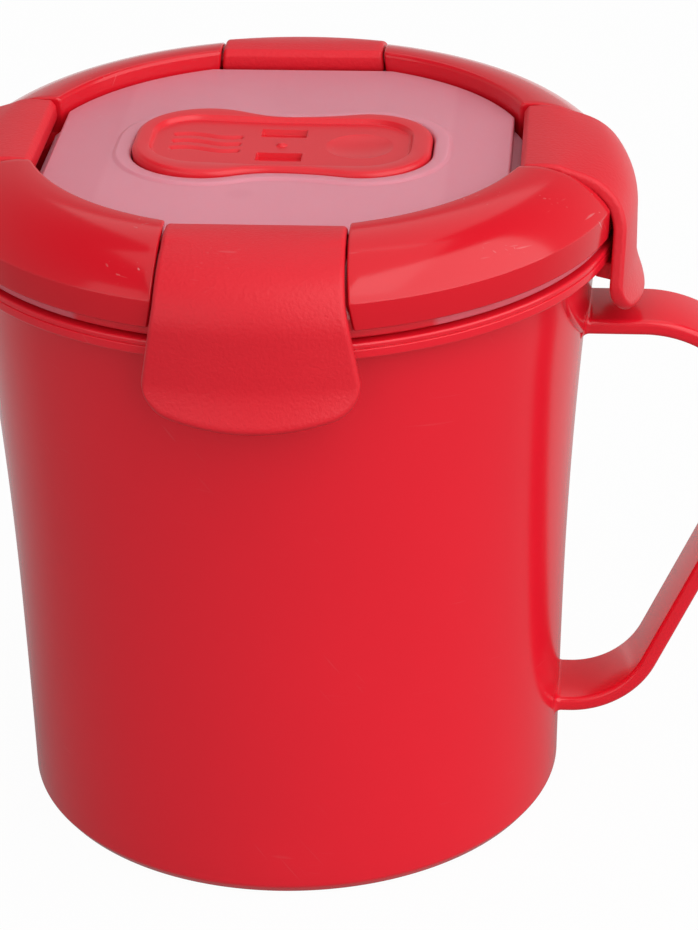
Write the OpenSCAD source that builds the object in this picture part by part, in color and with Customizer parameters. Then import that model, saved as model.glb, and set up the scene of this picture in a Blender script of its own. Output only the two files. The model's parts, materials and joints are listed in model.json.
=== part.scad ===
// Soup mug with a clip-down lid.
// A cup with an ear handle, a frosted lid plate with its silicone seal, a gloss ring
// on the lid's rim, four clips that hinge on the ring, and a rocking steam vent.
// Millimetres, +Z up, origin at the centre of the base, handle towards +X.

/* [Cup] */
// Diameter of the cup just above its foot
base_d = 90; // [84:0.5:94]
// Diameter of the cup under its rim
mouth_d = 96.8; // [94:0.2:98]
// Height of the rim land that the seal sits on
cup_h = 101.1; // [96:0.1:116]
// Wall of the cup
wall = 2; // [1.4:0.1:2.6]
// Floor of the cup
floor_t = 2.4; // [1.6:0.1:3.6]
// Radius inside, from the wall to the floor
inner_corner_r = 6; // [3:0.5:9]
// Height of the foot's chamfer
foot_h = 1.5; // [0.8:0.1:2.4]
// How far the foot's chamfer steps in
foot_in = 1.2; // [0.6:0.1:2]
// Width of the ring that the cup stands on
foot_w = 3; // [2:0.5:6]
// Depth of the hollow inside that ring
foot_rise = 0.8; // [0.4:0.1:1.2]

/* [Rim] */
// Diameter of the rim flange
rim_d = 107.2; // [105:0.2:110]
// Height of the flange's outer edge
rim_h = 2.55; // [2.2:0.05:3.2]
// Thickness of the flange
rim_t = 1.8; // [1.4:0.1:2.2]
// Radius of the bead at the flange's top edge
bead_r = 0.45; // [0.3:0.05:0.6]

/* [Handle] */
// From the cup's axis to the outside of the ear
handle_reach = 79; // [74:0.5:86]
// Width of the strap
handle_w = 14; // [11:0.5:18]
// Thickness of the strap
handle_t = 2.6; // [2.2:0.1:3.6]
// Corner radius of the strap's section
handle_edge_r = 0.8; // [0.5:0.1:1]
// From the rim's lower edge down to the upper arm's top face
handle_drop = 12.75; // [10.5:0.25:16.5]
// Height of the lower arm's underside
handle_low_z = 13.3; // [11:0.1:20]
// Outer radius of the upper bend
ear_r = 20.9; // [17:0.1:23]
// Inner radius of the lower bend
heel_r = 13.3; // [10:0.1:14]
// Half width of the flared root at the rim
root_half_w = 19; // [16:0.5:22]
// How far the flared root stands out past the wall
root_out = 1.3; // [0.9:0.1:2.2]
// Fillet where an arm meets the cup
root_fillet_r = 1.4; // [0.8:0.1:1.8]

/* [Lid plate] */
// Width of the flange outside which the cup's rim shows
flange_in = 0.6; // [0.4:0.1:1]
// Thickness of the lid's flange
flange_t = 1.6; // [1.4:0.1:2.2]
// Gap between the cup's rim and the lid's flange
rim_gap = 0.6; // [0.4:0.1:1]
// Height of the plate's top face above the flange
dome_h = 8.7; // [8:0.1:10]
// Thickness of the plate and its upright wall
plate_t = 1.6; // [1.2:0.1:2]
// From the axis to the flats beside the clips
flat_x = 36.5; // [35.6:0.1:36.8]
// Gap from the ring's inner wall to the plate
plate_gap = 0.5; // [0.4:0.1:0.8]
// Chamfer on the plate's top edge
plate_chamfer = 0.5; // [0.3:0.1:0.8]
// Depth that the lid's spigot reaches into the cup
spigot_h = 5; // [3:0.5:6]
// Gap from the spigot to the cup's wall
spigot_gap = 0.7; // [0.5:0.1:1.2]

/* [Seal] */
// Width of the seal
seal_w = 2.8; // [2.2:0.1:3.4]
// Height of the seal
seal_h = 2; // [1.8:0.1:2.6]
// From the mouth's inner edge to the seal
seal_in = 0.9; // [0.6:0.1:1.2]

/* [Ring] */
// How far the ring's skirt stands out past the cup's rim
ring_over = 0.6; // [0.4:0.1:0.9]
// Width of the ring
ring_w = 14.2; // [13.8:0.1:14.6]
// Height of the ring above the lid's flange
ring_h = 11.5; // [11:0.1:12.4]
// Radius of the ring's crown
crown_r = 15; // [14:0.1:17]
// From the ring's inner wall to the top of its crown
crown_in = 1.5; // [1:0.1:2.4]
// Radius at the ring's inner top edge
ring_lip_r = 1.2; // [0.6:0.1:1.6]
// Thickness of the ring's shell
ring_t = 1.8; // [1.4:0.1:2.2]

/* [Clips] */
// Thickness of a clip
clip_t = 2; // [1.7:0.1:2.3]
// Half width of a clip at the hinge
clip_half_top = 13.4; // [12.6:0.1:13.8]
// Half width of a clip at its bend
clip_half_bend = 14.1; // [13.8:0.1:14.6]
// Half width of a clip at its finger lip
clip_half_low = 16.2; // [15:0.1:17.5]
// Gap between a clip's skirt and the cup's rim
clip_gap = 1; // [0.9:0.05:1.3]
// Reach of a clip below the rim's lower edge
clip_drop = 9.8; // [8:0.1:10.6]
// How far the finger lip flares out
lip_flare = 1.4; // [0.6:0.1:2]
// Radius of a clip's top
clip_top_r = 24; // [22:0.1:27]
// Radius of a clip's bend
clip_bend_r = 10; // [8:0.1:12]
// Corner radius of the finger lip
lip_corner_r = 5.2; // [3:0.1:7]
// Sweep radius of the finger lip's lower edge
lip_sweep_r = 51; // [40:1:90]
// Running gap from the hook to the cup's rim
hook_gap = 0.3; // [0.2:0.05:0.4]
// Height of the hook's ridge
hook_h = 3; // [2:0.1:3.6]
// Gap between a clip's sides and the ring
side_gap = 0.5; // [0.4:0.05:0.8]

/* [Clip hinges] */
// Radius of a hinge bar
bar_r = 1.2; // [1:0.05:1.4]
// Running clearance of a hinge bar
bar_clear = 0.05; // [0.02:0.01:0.09]
// Radius of a clip's barrel
barrel_r = 2.7; // [2.5:0.05:2.8]
// From the ring's inner wall to the hinge axis
hinge_in = 0.8; // [0.6:0.1:1.2]

/* [Steam vent] */
// Half length of the vent
vent_half_l = 24; // [22:0.2:26]
// Half width at the plug's end
vent_half_plug = 14.6; // [13.6:0.1:15.4]
// Half width at the finger's end
vent_half_press = 13.6; // [13.2:0.1:15]
// Half width at the waist
vent_half_waist = 11.6; // [10.8:0.1:12]
// Corner radius of the vent's ends
vent_lobe_r = 8.5; // [7:0.1:9.5]
// Height of the vent's rim above the plate
vent_up = 1; // [0.7:0.1:1.4]
// Depth of the panel inside the vent's rim
panel_in = 0.5; // [0.3:0.1:0.7]
// Thickness of the vent's skin
skin_t = 1.5; // [1.1:0.1:1.8]
// Gap round the vent
vent_gap = 0.6; // [0.5:0.05:0.9]
// Width of the frame round the vent's well
frame_w = 2.2; // [1.4:0.1:3]
// Height of that frame above the plate
frame_h = 0.4; // [0.2:0.1:0.6]
// Depth of the vent's well below the plate's top
well_d = 7; // [6.8:0.1:8]
// Radius of the vent's pivot bar
pivot_r = 1.2; // [1:0.05:1.3]
// Diameter of the finger dimple
dimple_d = 10.8; // [8:0.2:12]
// Depth of the finger dimple
dimple_depth = 0.5; // [0.3:0.05:0.7]
// Length of a wavy steam mark
wave_l = 11; // [9:0.2:12]
// Width of a wavy steam mark
wave_w = 1.5; // [0.8:0.1:1.8]
// Spacing of the wavy steam marks
wave_pitch = 3; // [2.4:0.1:3.4]
// Depth of the wavy steam marks
wave_depth = 0.3; // [0.2:0.05:0.4]

/* [Hidden] */
$fn = 96;

// Overrun of cutting tools
over = 1;

// Cup
base_r = base_d / 2;
mouth_r = mouth_d / 2;
rim_r = rim_d / 2;
bore_r = mouth_r - wall;
rim_low_z = cup_h - rim_h;
// Height share against growth share of the wall's slight outward flare
flare_share = [[0.14, 0.09], [0.35, 0.2], [0.56, 0.4], [0.78, 0.68], [1, 1]];

function wall_z(s) = foot_h + s * (rim_low_z - foot_h);
function wall_r(s) = base_r + s * (mouth_r - base_r);
function wall_line(inset) = [
    for (f = flare_share) [wall_r(f[1]) - inset, wall_z(f[0])]
];

// Handle
handle_top_z = rim_low_z - handle_drop;
strap_r = ear_r - handle_t / 2;
heel_mid_r = heel_r + handle_t / 2;
ear_x = handle_reach - ear_r;
ear_z = handle_top_z - ear_r;
// Run of the lower arm from the wall to its bend
heel_run = 2;
heel_x = base_r + heel_run;
heel_z = handle_low_z + handle_t + heel_r;
ear_dx = ear_x - heel_x;
ear_dz = ear_z - heel_z;
ear_gap = sqrt(ear_dx * ear_dx + ear_dz * ear_dz);
// Slope of the straight part between the two bends
slope = atan2(ear_dz, ear_dx) - asin((strap_r - heel_mid_r) / ear_gap);
straight_l = ear_gap * cos(asin((strap_r - heel_mid_r) / ear_gap));
root_x = mouth_r + root_out;
// Lap of a straight into a bend, and how much slimmer the straight is there
strap_lap = 0.3;
strap_ease = 0.02;
// Share of the flared root's height taken by its slanted foot
root_foot_share = 0.66;

// Lid plate
flange_r = rim_r - flange_in;
flange_z = cup_h + rim_gap;
flange_top_z = flange_z + flange_t;
plate_z = flange_top_z + dome_h;
spigot_r = bore_r - spigot_gap;
spigot_t = 1.5;
seal_r = bore_r + seal_in;
// Slack of the seal in its groove
seal_slack = 0.1;
hump_t = 1.2;
hump_z = cup_h + seal_h + hump_t;
// Gap between the ring's cheeks and that hump
hump_gap = 0.2;

// Ring
ring_r = rim_r + ring_over;
ring_in_r = ring_r - ring_w;
plate_r = ring_in_r - plate_gap;
crown_x = ring_in_r + crown_in;
crown_z = flange_top_z + ring_h - crown_r;
// How much larger the easing's circle is than its corner
lip_ease_share = 1.06;

// Clip hinges
hinge_x = ring_in_r + hinge_in;
hinge_z = crown_z + crown_r - barrel_r;
bore_clear_r = bar_r + bar_clear;
// Snap opening of a barrel as a share of the bar's diameter
snap_share = 0.84;

// Clips
skirt_r = rim_r + clip_gap + clip_t;
clip_top_x = hinge_x + 0.15 * barrel_r;
clip_top_z = hinge_z + barrel_r - clip_top_r;
bend_x = skirt_r - clip_bend_r;
bend_in = clip_top_r - clip_bend_r;
bend_z = clip_top_z + sqrt(bend_in * bend_in - pow(bend_x - clip_top_x, 2));
bend_turn = atan2(bend_x - clip_top_x, bend_z - clip_top_z);
lip_z = rim_low_z - clip_drop;
lip_top_z = rim_low_z - hook_h;
clip_side_z = bend_z + 0.38 * clip_bend_r;
nose_x = hinge_x - barrel_r + 0.04 * barrel_r;
nose_bevel = 0.3 * barrel_r;
// Room under a clip so that it can be pressed home
floor_gap = 1;
floor_t2 = 1.5;
cheek_t = 1.6;
// Angle of the mug's rim that one clip section is turned over
clip_span = 50;
lip_corner_x = clip_half_low - lip_corner_r;
lip_in = lip_sweep_r - lip_corner_r;
lip_sweep_z = lip_z + lip_sweep_r;
lip_corner_z = lip_sweep_z - sqrt(lip_in * lip_in - lip_corner_x * lip_corner_x);
lip_touch_x = lip_corner_x * lip_sweep_r / lip_in;

// Steam vent
vent_z = plate_z + vent_up;
panel_z = vent_z - panel_in;
skin_z = panel_z - skin_t;
well_z = plate_z - well_d;
well_t = 1.2;
hook_barrel_r = 2 * pivot_r;
pivot_z = skin_z + 0.3 * hook_barrel_r - hook_barrel_r;
vent_lobe_x = vent_half_l - vent_lobe_r;
vent_wall = 1.2;
vent_skirt_z = pivot_z + 0.2 * pivot_r;
slot_l = 7;
slot_w = 3.3;
slot_y = 5.2;
hook_barrel_l = 6;
plug_r = 4;
plug_x = 14;
hole_r = 2.5;
collar_t = 1.5;
collar_h = 2.4;
// Gap between the plug and its collar when the vent is shut
plug_gap = 0.1;
// Width of the vent's rim at its ends and at its waist
panel_end = 3.4;
panel_side = 1.2;
panel_half_l = vent_half_l - panel_end;
panel_half_w = vent_half_waist - panel_side;
panel_r = 7.5;
dimple_x = 12.2;
wave_x = 12;
wave_sag = 0.5;
gate_r = 0.5;
gate_h = 0.25;

// Cup

module cup_outline() {
    polygon(concat(
        [[0, 0], [base_r - foot_in, 0], [base_r, foot_h]],
        wall_line(0),
        [[mouth_r, cup_h], [0, cup_h]]
    ));
}

module cup_hollow_outline() {
    floor_r = wall_r(flare_share[0][1]) - wall;
    polygon(concat(
        [[0, floor_t + inner_corner_r], [floor_r, floor_t + inner_corner_r]],
        wall_line(wall),
        [[bore_r, cup_h + over], [0, cup_h + over]]
    ));
    translate([0, floor_t])
        square([floor_r - inner_corner_r, inner_corner_r]);
    translate([floor_r - inner_corner_r, floor_t + inner_corner_r])
        circle(inner_corner_r);
}

module rim_outline() {
    translate([bore_r, cup_h - rim_t])
        square([rim_r - bead_r - bore_r, rim_t]);
    translate([rim_r - rim_t, rim_low_z])
        square([rim_t, rim_h - 2 * bead_r]);
    translate([rim_r - bead_r, cup_h - bead_r])
        circle(bead_r);
    translate([rim_r - rim_t, cup_h - 2 * bead_r])
        square([rim_t - bead_r, 2 * bead_r]);
}

// Section of the strap, set in by the given amount
module strap_section(inset) {
    half_w = handle_w / 2 - handle_edge_r - inset;
    half_t = handle_t / 2 - handle_edge_r - inset;
    for (x = [-half_t, half_t], y = [-half_w, half_w])
        translate([x, y])
            circle(handle_edge_r);
    square([2 * (half_t + handle_edge_r), 2 * half_w], center = true);
    square([2 * half_t, 2 * (half_w + handle_edge_r)], center = true);
}

// Strap from the origin along +Z, its thickness along X, lapped into its neighbours
module strap_straight(length) {
    translate([0, 0, -strap_lap])
        linear_extrude(length + 2 * strap_lap)
            strap_section(strap_ease);
}

// Strap bent about the Y axis at the given centre, from angle a0 over the turn
module strap_bend(x, z, radius, a0, turn) {
    translate([x, 0, z])
        rotate([90, 0, 0])
            rotate([0, 0, a0])
                rotate_extrude(angle = turn)
                    translate([radius, 0])
                        strap_section(0);
}

module handle() {
    top_mid = handle_top_z - handle_t / 2;
    low_mid = handle_low_z + handle_t / 2;
    start_x = mouth_r - wall;
    translate([start_x, 0, top_mid])
        rotate([0, 90, 0])
            strap_straight(ear_x - start_x);
    strap_bend(ear_x, ear_z, strap_r, slope - 90, 180 - slope);
    translate([
        heel_x + heel_mid_r * cos(slope - 90),
        0,
        heel_z + heel_mid_r * sin(slope - 90)
    ])
        rotate([0, 90 - slope, 0])
            strap_straight(straight_l);
    strap_bend(heel_x, heel_z, heel_mid_r, -90, slope);
    translate([base_r - wall, 0, low_mid])
        rotate([0, 90, 0])
            strap_straight(heel_x - base_r + wall);
}

// Concave fillet along Y with its corner at the origin, towards +X and +Z
module root_fillet(r) {
    side = r + wall;
    rotate([90, 0, 0])
        linear_extrude(handle_w - 2 * handle_edge_r, center = true)
            difference() {
                translate([-wall, -handle_edge_r])
                    square([side, r + handle_edge_r]);
                translate([r, r])
                    circle(r);
            }
}

// Flared root of the upper arm, under the rim
module handle_root() {
    low_z = handle_top_z - handle_t;
    high_z = cup_h - rim_t / 2;
    foot_z = low_z + root_foot_share * (rim_low_z - low_z);
    half_w = handle_w / 2;
    start_x = bore_r * cos(asin(root_half_w / bore_r)) - wall;
    translate([start_x, 0, 0])
        rotate([90, 0, 90])
            linear_extrude(root_x - start_x)
                polygon([
                    [-half_w, low_z],
                    [half_w, low_z],
                    [root_half_w, foot_z],
                    [root_half_w, high_z],
                    [-root_half_w, high_z],
                    [-root_half_w, foot_z]
                ]);
    translate([root_x, 0, handle_top_z])
        root_fillet(root_fillet_r);
    translate([mouth_r - root_fillet_r / 2, 0, low_z])
        mirror([0, 0, 1])
            root_fillet(root_fillet_r);
    translate([base_r, 0, handle_low_z + handle_t])
        root_fillet(root_fillet_r);
    translate([base_r, 0, handle_low_z])
        mirror([0, 0, 1])
            root_fillet(root_fillet_r);
}

module mug() {
    color("#d3131f")
        difference() {
            union() {
                rotate_extrude()
                    cup_outline();
                rotate_extrude()
                    rim_outline();
                handle();
                handle_root();
            }
            rotate_extrude()
                cup_hollow_outline();
            translate([0, 0, -over])
                cylinder(h = foot_rise + over, r = base_r - foot_in - foot_w);
        }
}

// Lid plate

module plate_blank(inset) {
    intersection() {
        circle(plate_r - inset);
        square(2 * (flat_x - inset), center = true);
    }
}

module lid_rim_outline() {
    inner_x = flat_x - plate_t;
    groove_r = seal_r - seal_slack;
    groove_w = seal_w + 2 * seal_slack;
    difference() {
        union() {
            translate([inner_x, flange_z])
                square([flange_r - inner_x, flange_t]);
            translate([groove_r - hump_t, flange_z])
                square([groove_w + 2 * hump_t, hump_z - flange_z]);
            translate([spigot_r - spigot_t, flange_z - spigot_h])
                square([spigot_t, spigot_h + flange_t]);
        }
        translate([groove_r, cup_h - over])
            square([groove_w, seal_h + over]);
    }
}

module well_outline(grow) {
    for (side = [0, 1])
        mirror([side, 0, 0])
            bone_half(side == 1 ? vent_half_plug : vent_half_press, grow);
}

// Half of the vent's dog-bone outline, from its waist to one end
module bone_half(half_w, grow) {
    lobe_y = half_w - vent_lobe_r;
    rise = vent_half_waist - lobe_y;
    waist_r = (vent_lobe_x * vent_lobe_x + rise * rise - vent_lobe_r * vent_lobe_r)
        / (2 * (vent_lobe_r - rise));
    share = waist_r / (waist_r + vent_lobe_r);
    touch_x = vent_lobe_x * share;
    waist_y = vent_half_waist + waist_r;
    touch_y = waist_y + (lobe_y - waist_y) * (waist_r - grow) / (waist_r + vent_lobe_r);
    touch_gx = vent_lobe_x * (waist_r - grow) / (waist_r + vent_lobe_r);
    difference() {
        polygon([
            [0, -touch_y],
            [touch_gx, -touch_y],
            [vent_lobe_x, -lobe_y],
            [vent_half_l + grow, -lobe_y],
            [vent_half_l + grow, lobe_y],
            [vent_lobe_x, lobe_y],
            [touch_gx, touch_y],
            [0, touch_y]
        ]);
        for (side = [-1, 1])
            translate([0, side * waist_y])
                circle(waist_r - grow, $fn = 4 * $fn);
    }
    for (side = [-1, 1])
        translate([vent_lobe_x, side * lobe_y])
            circle(vent_lobe_r + grow);
}

module lid_plate() {
    color("#d9a3ad")
        difference() {
            union() {
                translate([0, 0, plate_z - plate_chamfer])
                    chamfered_top();
                translate([0, 0, flange_z])
                    linear_extrude(plate_z - plate_chamfer - flange_z)
                        plate_blank(0);
                rotate_extrude()
                    lid_rim_outline();
                translate([0, 0, plate_z - plate_chamfer])
                    linear_extrude(plate_chamfer + frame_h)
                        well_outline(vent_gap + frame_w);
            }
            difference() {
                translate([0, 0, flange_z - over])
                    linear_extrude(plate_z - plate_t - flange_z + over)
                        plate_blank(plate_t);
                translate([0, 0, well_z - well_t])
                    linear_extrude(well_d)
                        well_outline(vent_gap + well_t);
            }
            translate([0, 0, well_z])
                linear_extrude(well_d + frame_h + over)
                    well_outline(vent_gap);
            translate([-plug_x, 0, well_z - well_t - over])
                cylinder(h = well_t + 2 * over, r = hole_r);
        }
    color("#d9a3ad")
        vent_seat();
}

// Plate's top layer with its chamfered edge, as steps of one bevel
module chamfered_top() {
    intersection() {
        linear_extrude(plate_chamfer)
            square(2 * flat_x, center = true);
        cylinder(h = plate_chamfer, r1 = plate_r, r2 = plate_r - plate_chamfer);
    }
}

// Pivot bar and steam collar inside the vent's well
module vent_seat() {
    bar_half = vent_half_waist + vent_gap + well_t / 2;
    translate([0, 0, pivot_z])
        rotate([90, 0, 0])
            cylinder(h = 2 * bar_half, r = pivot_r, center = true);
    translate([-plug_x, 0, well_z - well_t])
        difference() {
            cylinder(h = well_t + collar_h, r = hole_r + collar_t);
            translate([0, 0, -over])
                cylinder(h = well_t + collar_h + 2 * over, r = hole_r);
        }
}

// Seal

module lid_seal() {
    color("#e9e6e2")
        translate([0, 0, cup_h])
            rotate_extrude()
                translate([seal_r, 0])
                    square([seal_w, seal_h]);
}

// Ring

// Sector of a circle between two turns from the vertical, measured towards +X
module sector(r, a0, a1) {
    reach = 2 * r;
    mid = (a0 + a1) / 2;
    intersection() {
        circle(r, $fn = 2 * $fn);
        polygon([
            [0, 0],
            [reach * sin(a0), reach * cos(a0)],
            [reach * sin(mid), reach * cos(mid)],
            [reach * sin(a1), reach * cos(a1)]
        ]);
    }
}

// Outside of the ring's section, filled in, with its inner top edge eased
module ring_solid_outline() {
    edge_z = crown_z + sqrt(crown_r * crown_r - crown_in * crown_in);
    difference() {
        intersection() {
            translate([crown_x, crown_z])
                circle(crown_r, $fn = 2 * $fn);
            translate([ring_in_r, flange_top_z])
                square([ring_w, crown_r]);
        }
        difference() {
            translate([ring_in_r - over, edge_z - ring_lip_r])
                square([over + ring_lip_r, ring_lip_r + over]);
            translate([ring_in_r + ring_lip_r, edge_z - ring_lip_r])
                circle(ring_lip_r * lip_ease_share);
        }
    }
}

// Hollow of the ring's section, open below
module ring_core_outline() {
    intersection() {
        translate([crown_x, crown_z])
            circle(crown_r - ring_t, $fn = 2 * $fn);
        translate([ring_in_r + ring_t, flange_top_z - over])
            square([ring_w - 2 * ring_t, crown_r]);
    }
}

// Groove in the ring's cheeks over the hump on the lid's flange
module hump_room() {
    side = seal_slack + hump_t + hump_gap;
    rotate_extrude()
        translate([seal_r - side, flange_top_z - over])
            square([seal_w + 2 * side, hump_z + hump_gap - flange_top_z + over]);
}

// Outline that a clip and its notch share, grown sideways
module clip_window(grow, low_z) {
    top_z = crown_z + crown_r + over;
    low_share = (clip_side_z - low_z) / (clip_side_z - lip_corner_z);
    low_half = clip_half_bend + low_share * (clip_half_low - clip_half_bend) + grow;
    polygon([
        [-clip_half_top - grow, top_z],
        [clip_half_top + grow, top_z],
        [clip_half_bend + grow, clip_side_z],
        [low_half, low_z],
        [-low_half, low_z],
        [-clip_half_bend - grow, clip_side_z]
    ]);
}

// The window as a prism along +X
module window_prism(grow, low_z) {
    rotate([90, 0, 90])
        linear_extrude(skirt_r + lip_flare + over)
            clip_window(grow, low_z);
}

// Part of the turn about the cup's axis that lies under a clip at +X
module under_clip(inset, start_r) {
    rotate([0, 0, -clip_span / 2])
        rotate_extrude(angle = clip_span)
            intersection() {
                clip_solid_outline(inset);
                translate([start_r, flange_top_z - 2 * over])
                    square([ring_w + 2 * over, clip_top_r]);
            }
}

module barrel_room(r) {
    translate([hinge_x, 0, hinge_z])
        rotate([90, 0, 0])
            cylinder(h = 4 * clip_half_low, r = r, center = true);
}

// Notch in the ring for a clip, stepped down round the clip's barrel
module clip_notch() {
    difference() {
        window_prism(side_gap, flange_top_z - over);
        difference() {
            under_clip(clip_t + floor_gap, ring_in_r - over);
            barrel_room(barrel_r + floor_gap);
        }
    }
}

// Hollow under a notch's floor, inside the ring's two walls
module notch_hollow() {
    difference() {
        intersection() {
            window_prism(side_gap, flange_top_z - over);
            under_clip(clip_t + floor_gap + floor_t2, ring_in_r + ring_t);
        }
        barrel_room(barrel_r + floor_gap + floor_t2);
    }
}

module lid_ring() {
    color("#cf101c") {
        difference() {
            rotate_extrude()
                ring_solid_outline();
            difference() {
                rotate_extrude()
                    ring_core_outline();
                for (turn = [0 : 90 : 270])
                    rotate([0, 0, turn])
                        window_prism(side_gap + cheek_t, flange_top_z - 2 * over);
            }
            for (turn = [0 : 90 : 270])
                rotate([0, 0, turn]) {
                    clip_notch();
                    notch_hollow();
                }
            hump_room();
        }
        for (turn = [0 : 90 : 270])
            rotate([0, 0, turn])
                hinge_bar();
    }
}

module hinge_bar() {
    half_l = clip_half_bend + side_gap + cheek_t / 2;
    translate([hinge_x, 0, hinge_z])
        rotate([90, 0, 0])
            cylinder(h = 2 * half_l, r = bar_r, center = true);
}

// Clips

// Section of a clip as a solid down from its outer face, set in by the given amount
module clip_solid_outline(inset) {
    side_x = skirt_r - inset;
    end_z = lip_z + clip_t / 2;
    base_z = clip_top_z - clip_top_r;
    intersection() {
        union() {
            translate([clip_top_x, clip_top_z])
                sector(clip_top_r - inset, -bend_turn, bend_turn);
            translate([bend_x, bend_z])
                sector(clip_bend_r - inset, bend_turn, 90);
            polygon([
                [clip_top_x, base_z],
                [side_x + lip_flare, base_z],
                [side_x + lip_flare, end_z],
                [side_x, lip_top_z],
                [side_x, bend_z],
                [bend_x, bend_z],
                [clip_top_x, clip_top_z]
            ]);
        }
        translate([0, end_z])
            square([skirt_r + lip_flare, 2 * clip_top_r]);
    }
}

module clip_shell_outline() {
    end_z = lip_z + clip_t / 2;
    difference() {
        clip_solid_outline(0);
        clip_solid_outline(clip_t);
        translate([0, end_z - over])
            square([skirt_r + lip_flare - clip_t, over]);
    }
    translate([skirt_r + lip_flare - clip_t / 2, end_z])
        circle(clip_t / 2);
    hook_outline();
}

// Ridge that snaps under the rim when the clip is pressed home
module hook_outline() {
    tip_x = rim_r + hook_gap;
    back_x = skirt_r - clip_t / 2;
    tip_z = rim_low_z - hook_gap / 6;
    polygon([
        [back_x, lip_top_z],
        [skirt_r - clip_t, lip_top_z],
        [tip_x, tip_z - hook_h / 2],
        [tip_x, tip_z],
        [skirt_r - clip_t, tip_z + hook_gap],
        [back_x, tip_z + hook_gap]
    ]);
}

// Front outline of a clip with its rounded finger lip
module clip_face() {
    clip_window(0, lip_corner_z);
    for (side = [-1, 1])
        translate([side * lip_corner_x, lip_corner_z])
            circle(lip_corner_r);
    intersection() {
        translate([0, lip_sweep_z])
            circle(lip_sweep_r, $fn = 4 * $fn);
        translate([-lip_touch_x, lip_z])
            square([2 * lip_touch_x, lip_corner_z - lip_z + over]);
    }
}

// One clip at +X
module clip() {
    difference() {
        union() {
            intersection() {
                rotate([0, 0, -clip_span / 2])
                    rotate_extrude(angle = clip_span)
                        clip_shell_outline();
                translate([hinge_x, 0, 0])
                    rotate([90, 0, 90])
                        linear_extrude(skirt_r)
                            clip_face();
            }
            clip_barrel();
        }
        translate([hinge_x, 0, hinge_z])
            rotate([90, 0, 0])
                cylinder(h = 4 * clip_half_low, r = bore_clear_r, center = true);
        translate([hinge_x, 0, hinge_z])
            rotate([0, 45, 0])
                translate([-bar_r * snap_share, -2 * clip_half_low, -2 * barrel_r])
                    cube([2 * bar_r * snap_share, 4 * clip_half_low, 2 * barrel_r]);
    }
}

// Barrel and nose round the hinge bar
module clip_barrel() {
    length = 2 * clip_half_top;
    top_z = hinge_z + barrel_r;
    translate([hinge_x, 0, hinge_z])
        rotate([90, 0, 0])
            cylinder(h = length, r = barrel_r, center = true);
    rotate([90, 0, 0])
        linear_extrude(length, center = true)
            polygon([
                [nose_x, hinge_z],
                [nose_x, top_z - 1.3 * nose_bevel],
                [nose_x + nose_bevel, top_z - 0.15 * nose_bevel],
                [hinge_x, top_z],
                [hinge_x, hinge_z]
            ]);
}

module clip_at(turn) {
    color("#c9111c")
        rotate([0, 0, turn])
            clip();
}

module clip_right() {
    clip_at(0);
}

module clip_back() {
    clip_at(90);
}

module clip_left() {
    clip_at(180);
}

module clip_front() {
    clip_at(270);
}

// Steam vent

module panel_outline() {
    inner = [panel_half_l - panel_r, panel_half_w - panel_r];
    for (x = [-inner[0], inner[0]], y = [-inner[1], inner[1]])
        translate([x, y])
            circle(panel_r);
    square([2 * panel_half_l, 2 * inner[1]], center = true);
    square([2 * inner[0], 2 * panel_half_w], center = true);
}

// Point on one side of a wavy mark, at a share t of its length
function wave_point(t, side) =
    let (
        rise = 2 * PI * wave_sag * cos(360 * t),
        run = norm([wave_l, rise]),
        half_w = side * wave_w / 2
    )
    [(t - 1 / 2) * wave_l - half_w * rise / run, wave_sag * sin(360 * t) + half_w * wave_l / run];

// One wavy mark: a crest and a trough of a sine
module wave_mark() {
    steps = 20;
    polygon(concat(
        [for (i = [0 : steps]) wave_point(i / steps, 1)],
        [for (i = [steps : -1 : 0]) wave_point(i / steps, -1)]
    ));
}

module vent_flap() {
    dish_r = (dimple_d * dimple_d / 4 + dimple_depth * dimple_depth) / (2 * dimple_depth);
    color("#d3141f")
        difference() {
            union() {
                translate([0, 0, skin_z])
                    linear_extrude(vent_z - skin_z)
                        well_outline(0);
                difference() {
                    translate([0, 0, vent_skirt_z])
                        linear_extrude(skin_z - vent_skirt_z)
                            well_outline(0);
                    translate([0, 0, vent_skirt_z - over])
                        linear_extrude(skin_z - vent_skirt_z + over)
                            well_outline(-vent_wall);
                }
                vent_hooks();
                translate([-plug_x, 0, well_z + collar_h + plug_gap])
                    cylinder(h = skin_z - well_z - collar_h, r = plug_r);
            }
            translate([0, 0, panel_z])
                linear_extrude(panel_in + over)
                    panel_outline();
            for (row = [-1 : 1])
                translate([-wave_x, row * wave_pitch, panel_z - wave_depth])
                    linear_extrude(wave_depth + over)
                        wave_mark();
            translate([dimple_x, 0, panel_z - dimple_depth + dish_r])
                rotate([90, 0, 0])
                    sphere(dish_r, $fn = 4 * $fn);
            for (side = [-1, 1])
                translate([0, side * slot_y, skin_z + skin_t / 2 + over / 2])
                    cube([slot_l, slot_w, skin_t + over], center = true);
            translate([0, 0, pivot_z])
                rotate([90, 0, 0])
                    cylinder(h = 2 * vent_half_plug, r = pivot_r + bar_clear, center = true);
            translate([-pivot_r * snap_share, -vent_half_plug, pivot_z - 2 * hook_barrel_r])
                cube([2 * pivot_r * snap_share, 2 * vent_half_plug, 2 * hook_barrel_r]);
        }
    color("#d3141f")
        translate([0, 0, panel_z])
            cylinder(h = gate_h, r = gate_r);
}

// Barrels that grip the pivot bar
module vent_hooks() {
    for (side = [-1, 1])
        translate([0, side * slot_y, pivot_z])
            rotate([90, 0, 0])
                cylinder(h = hook_barrel_l, r = hook_barrel_r, center = true);
}

mug();
lid_plate();
lid_seal();
lid_ring();
clip_front();
clip_right();
clip_back();
clip_left();
vent_flap();
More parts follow.
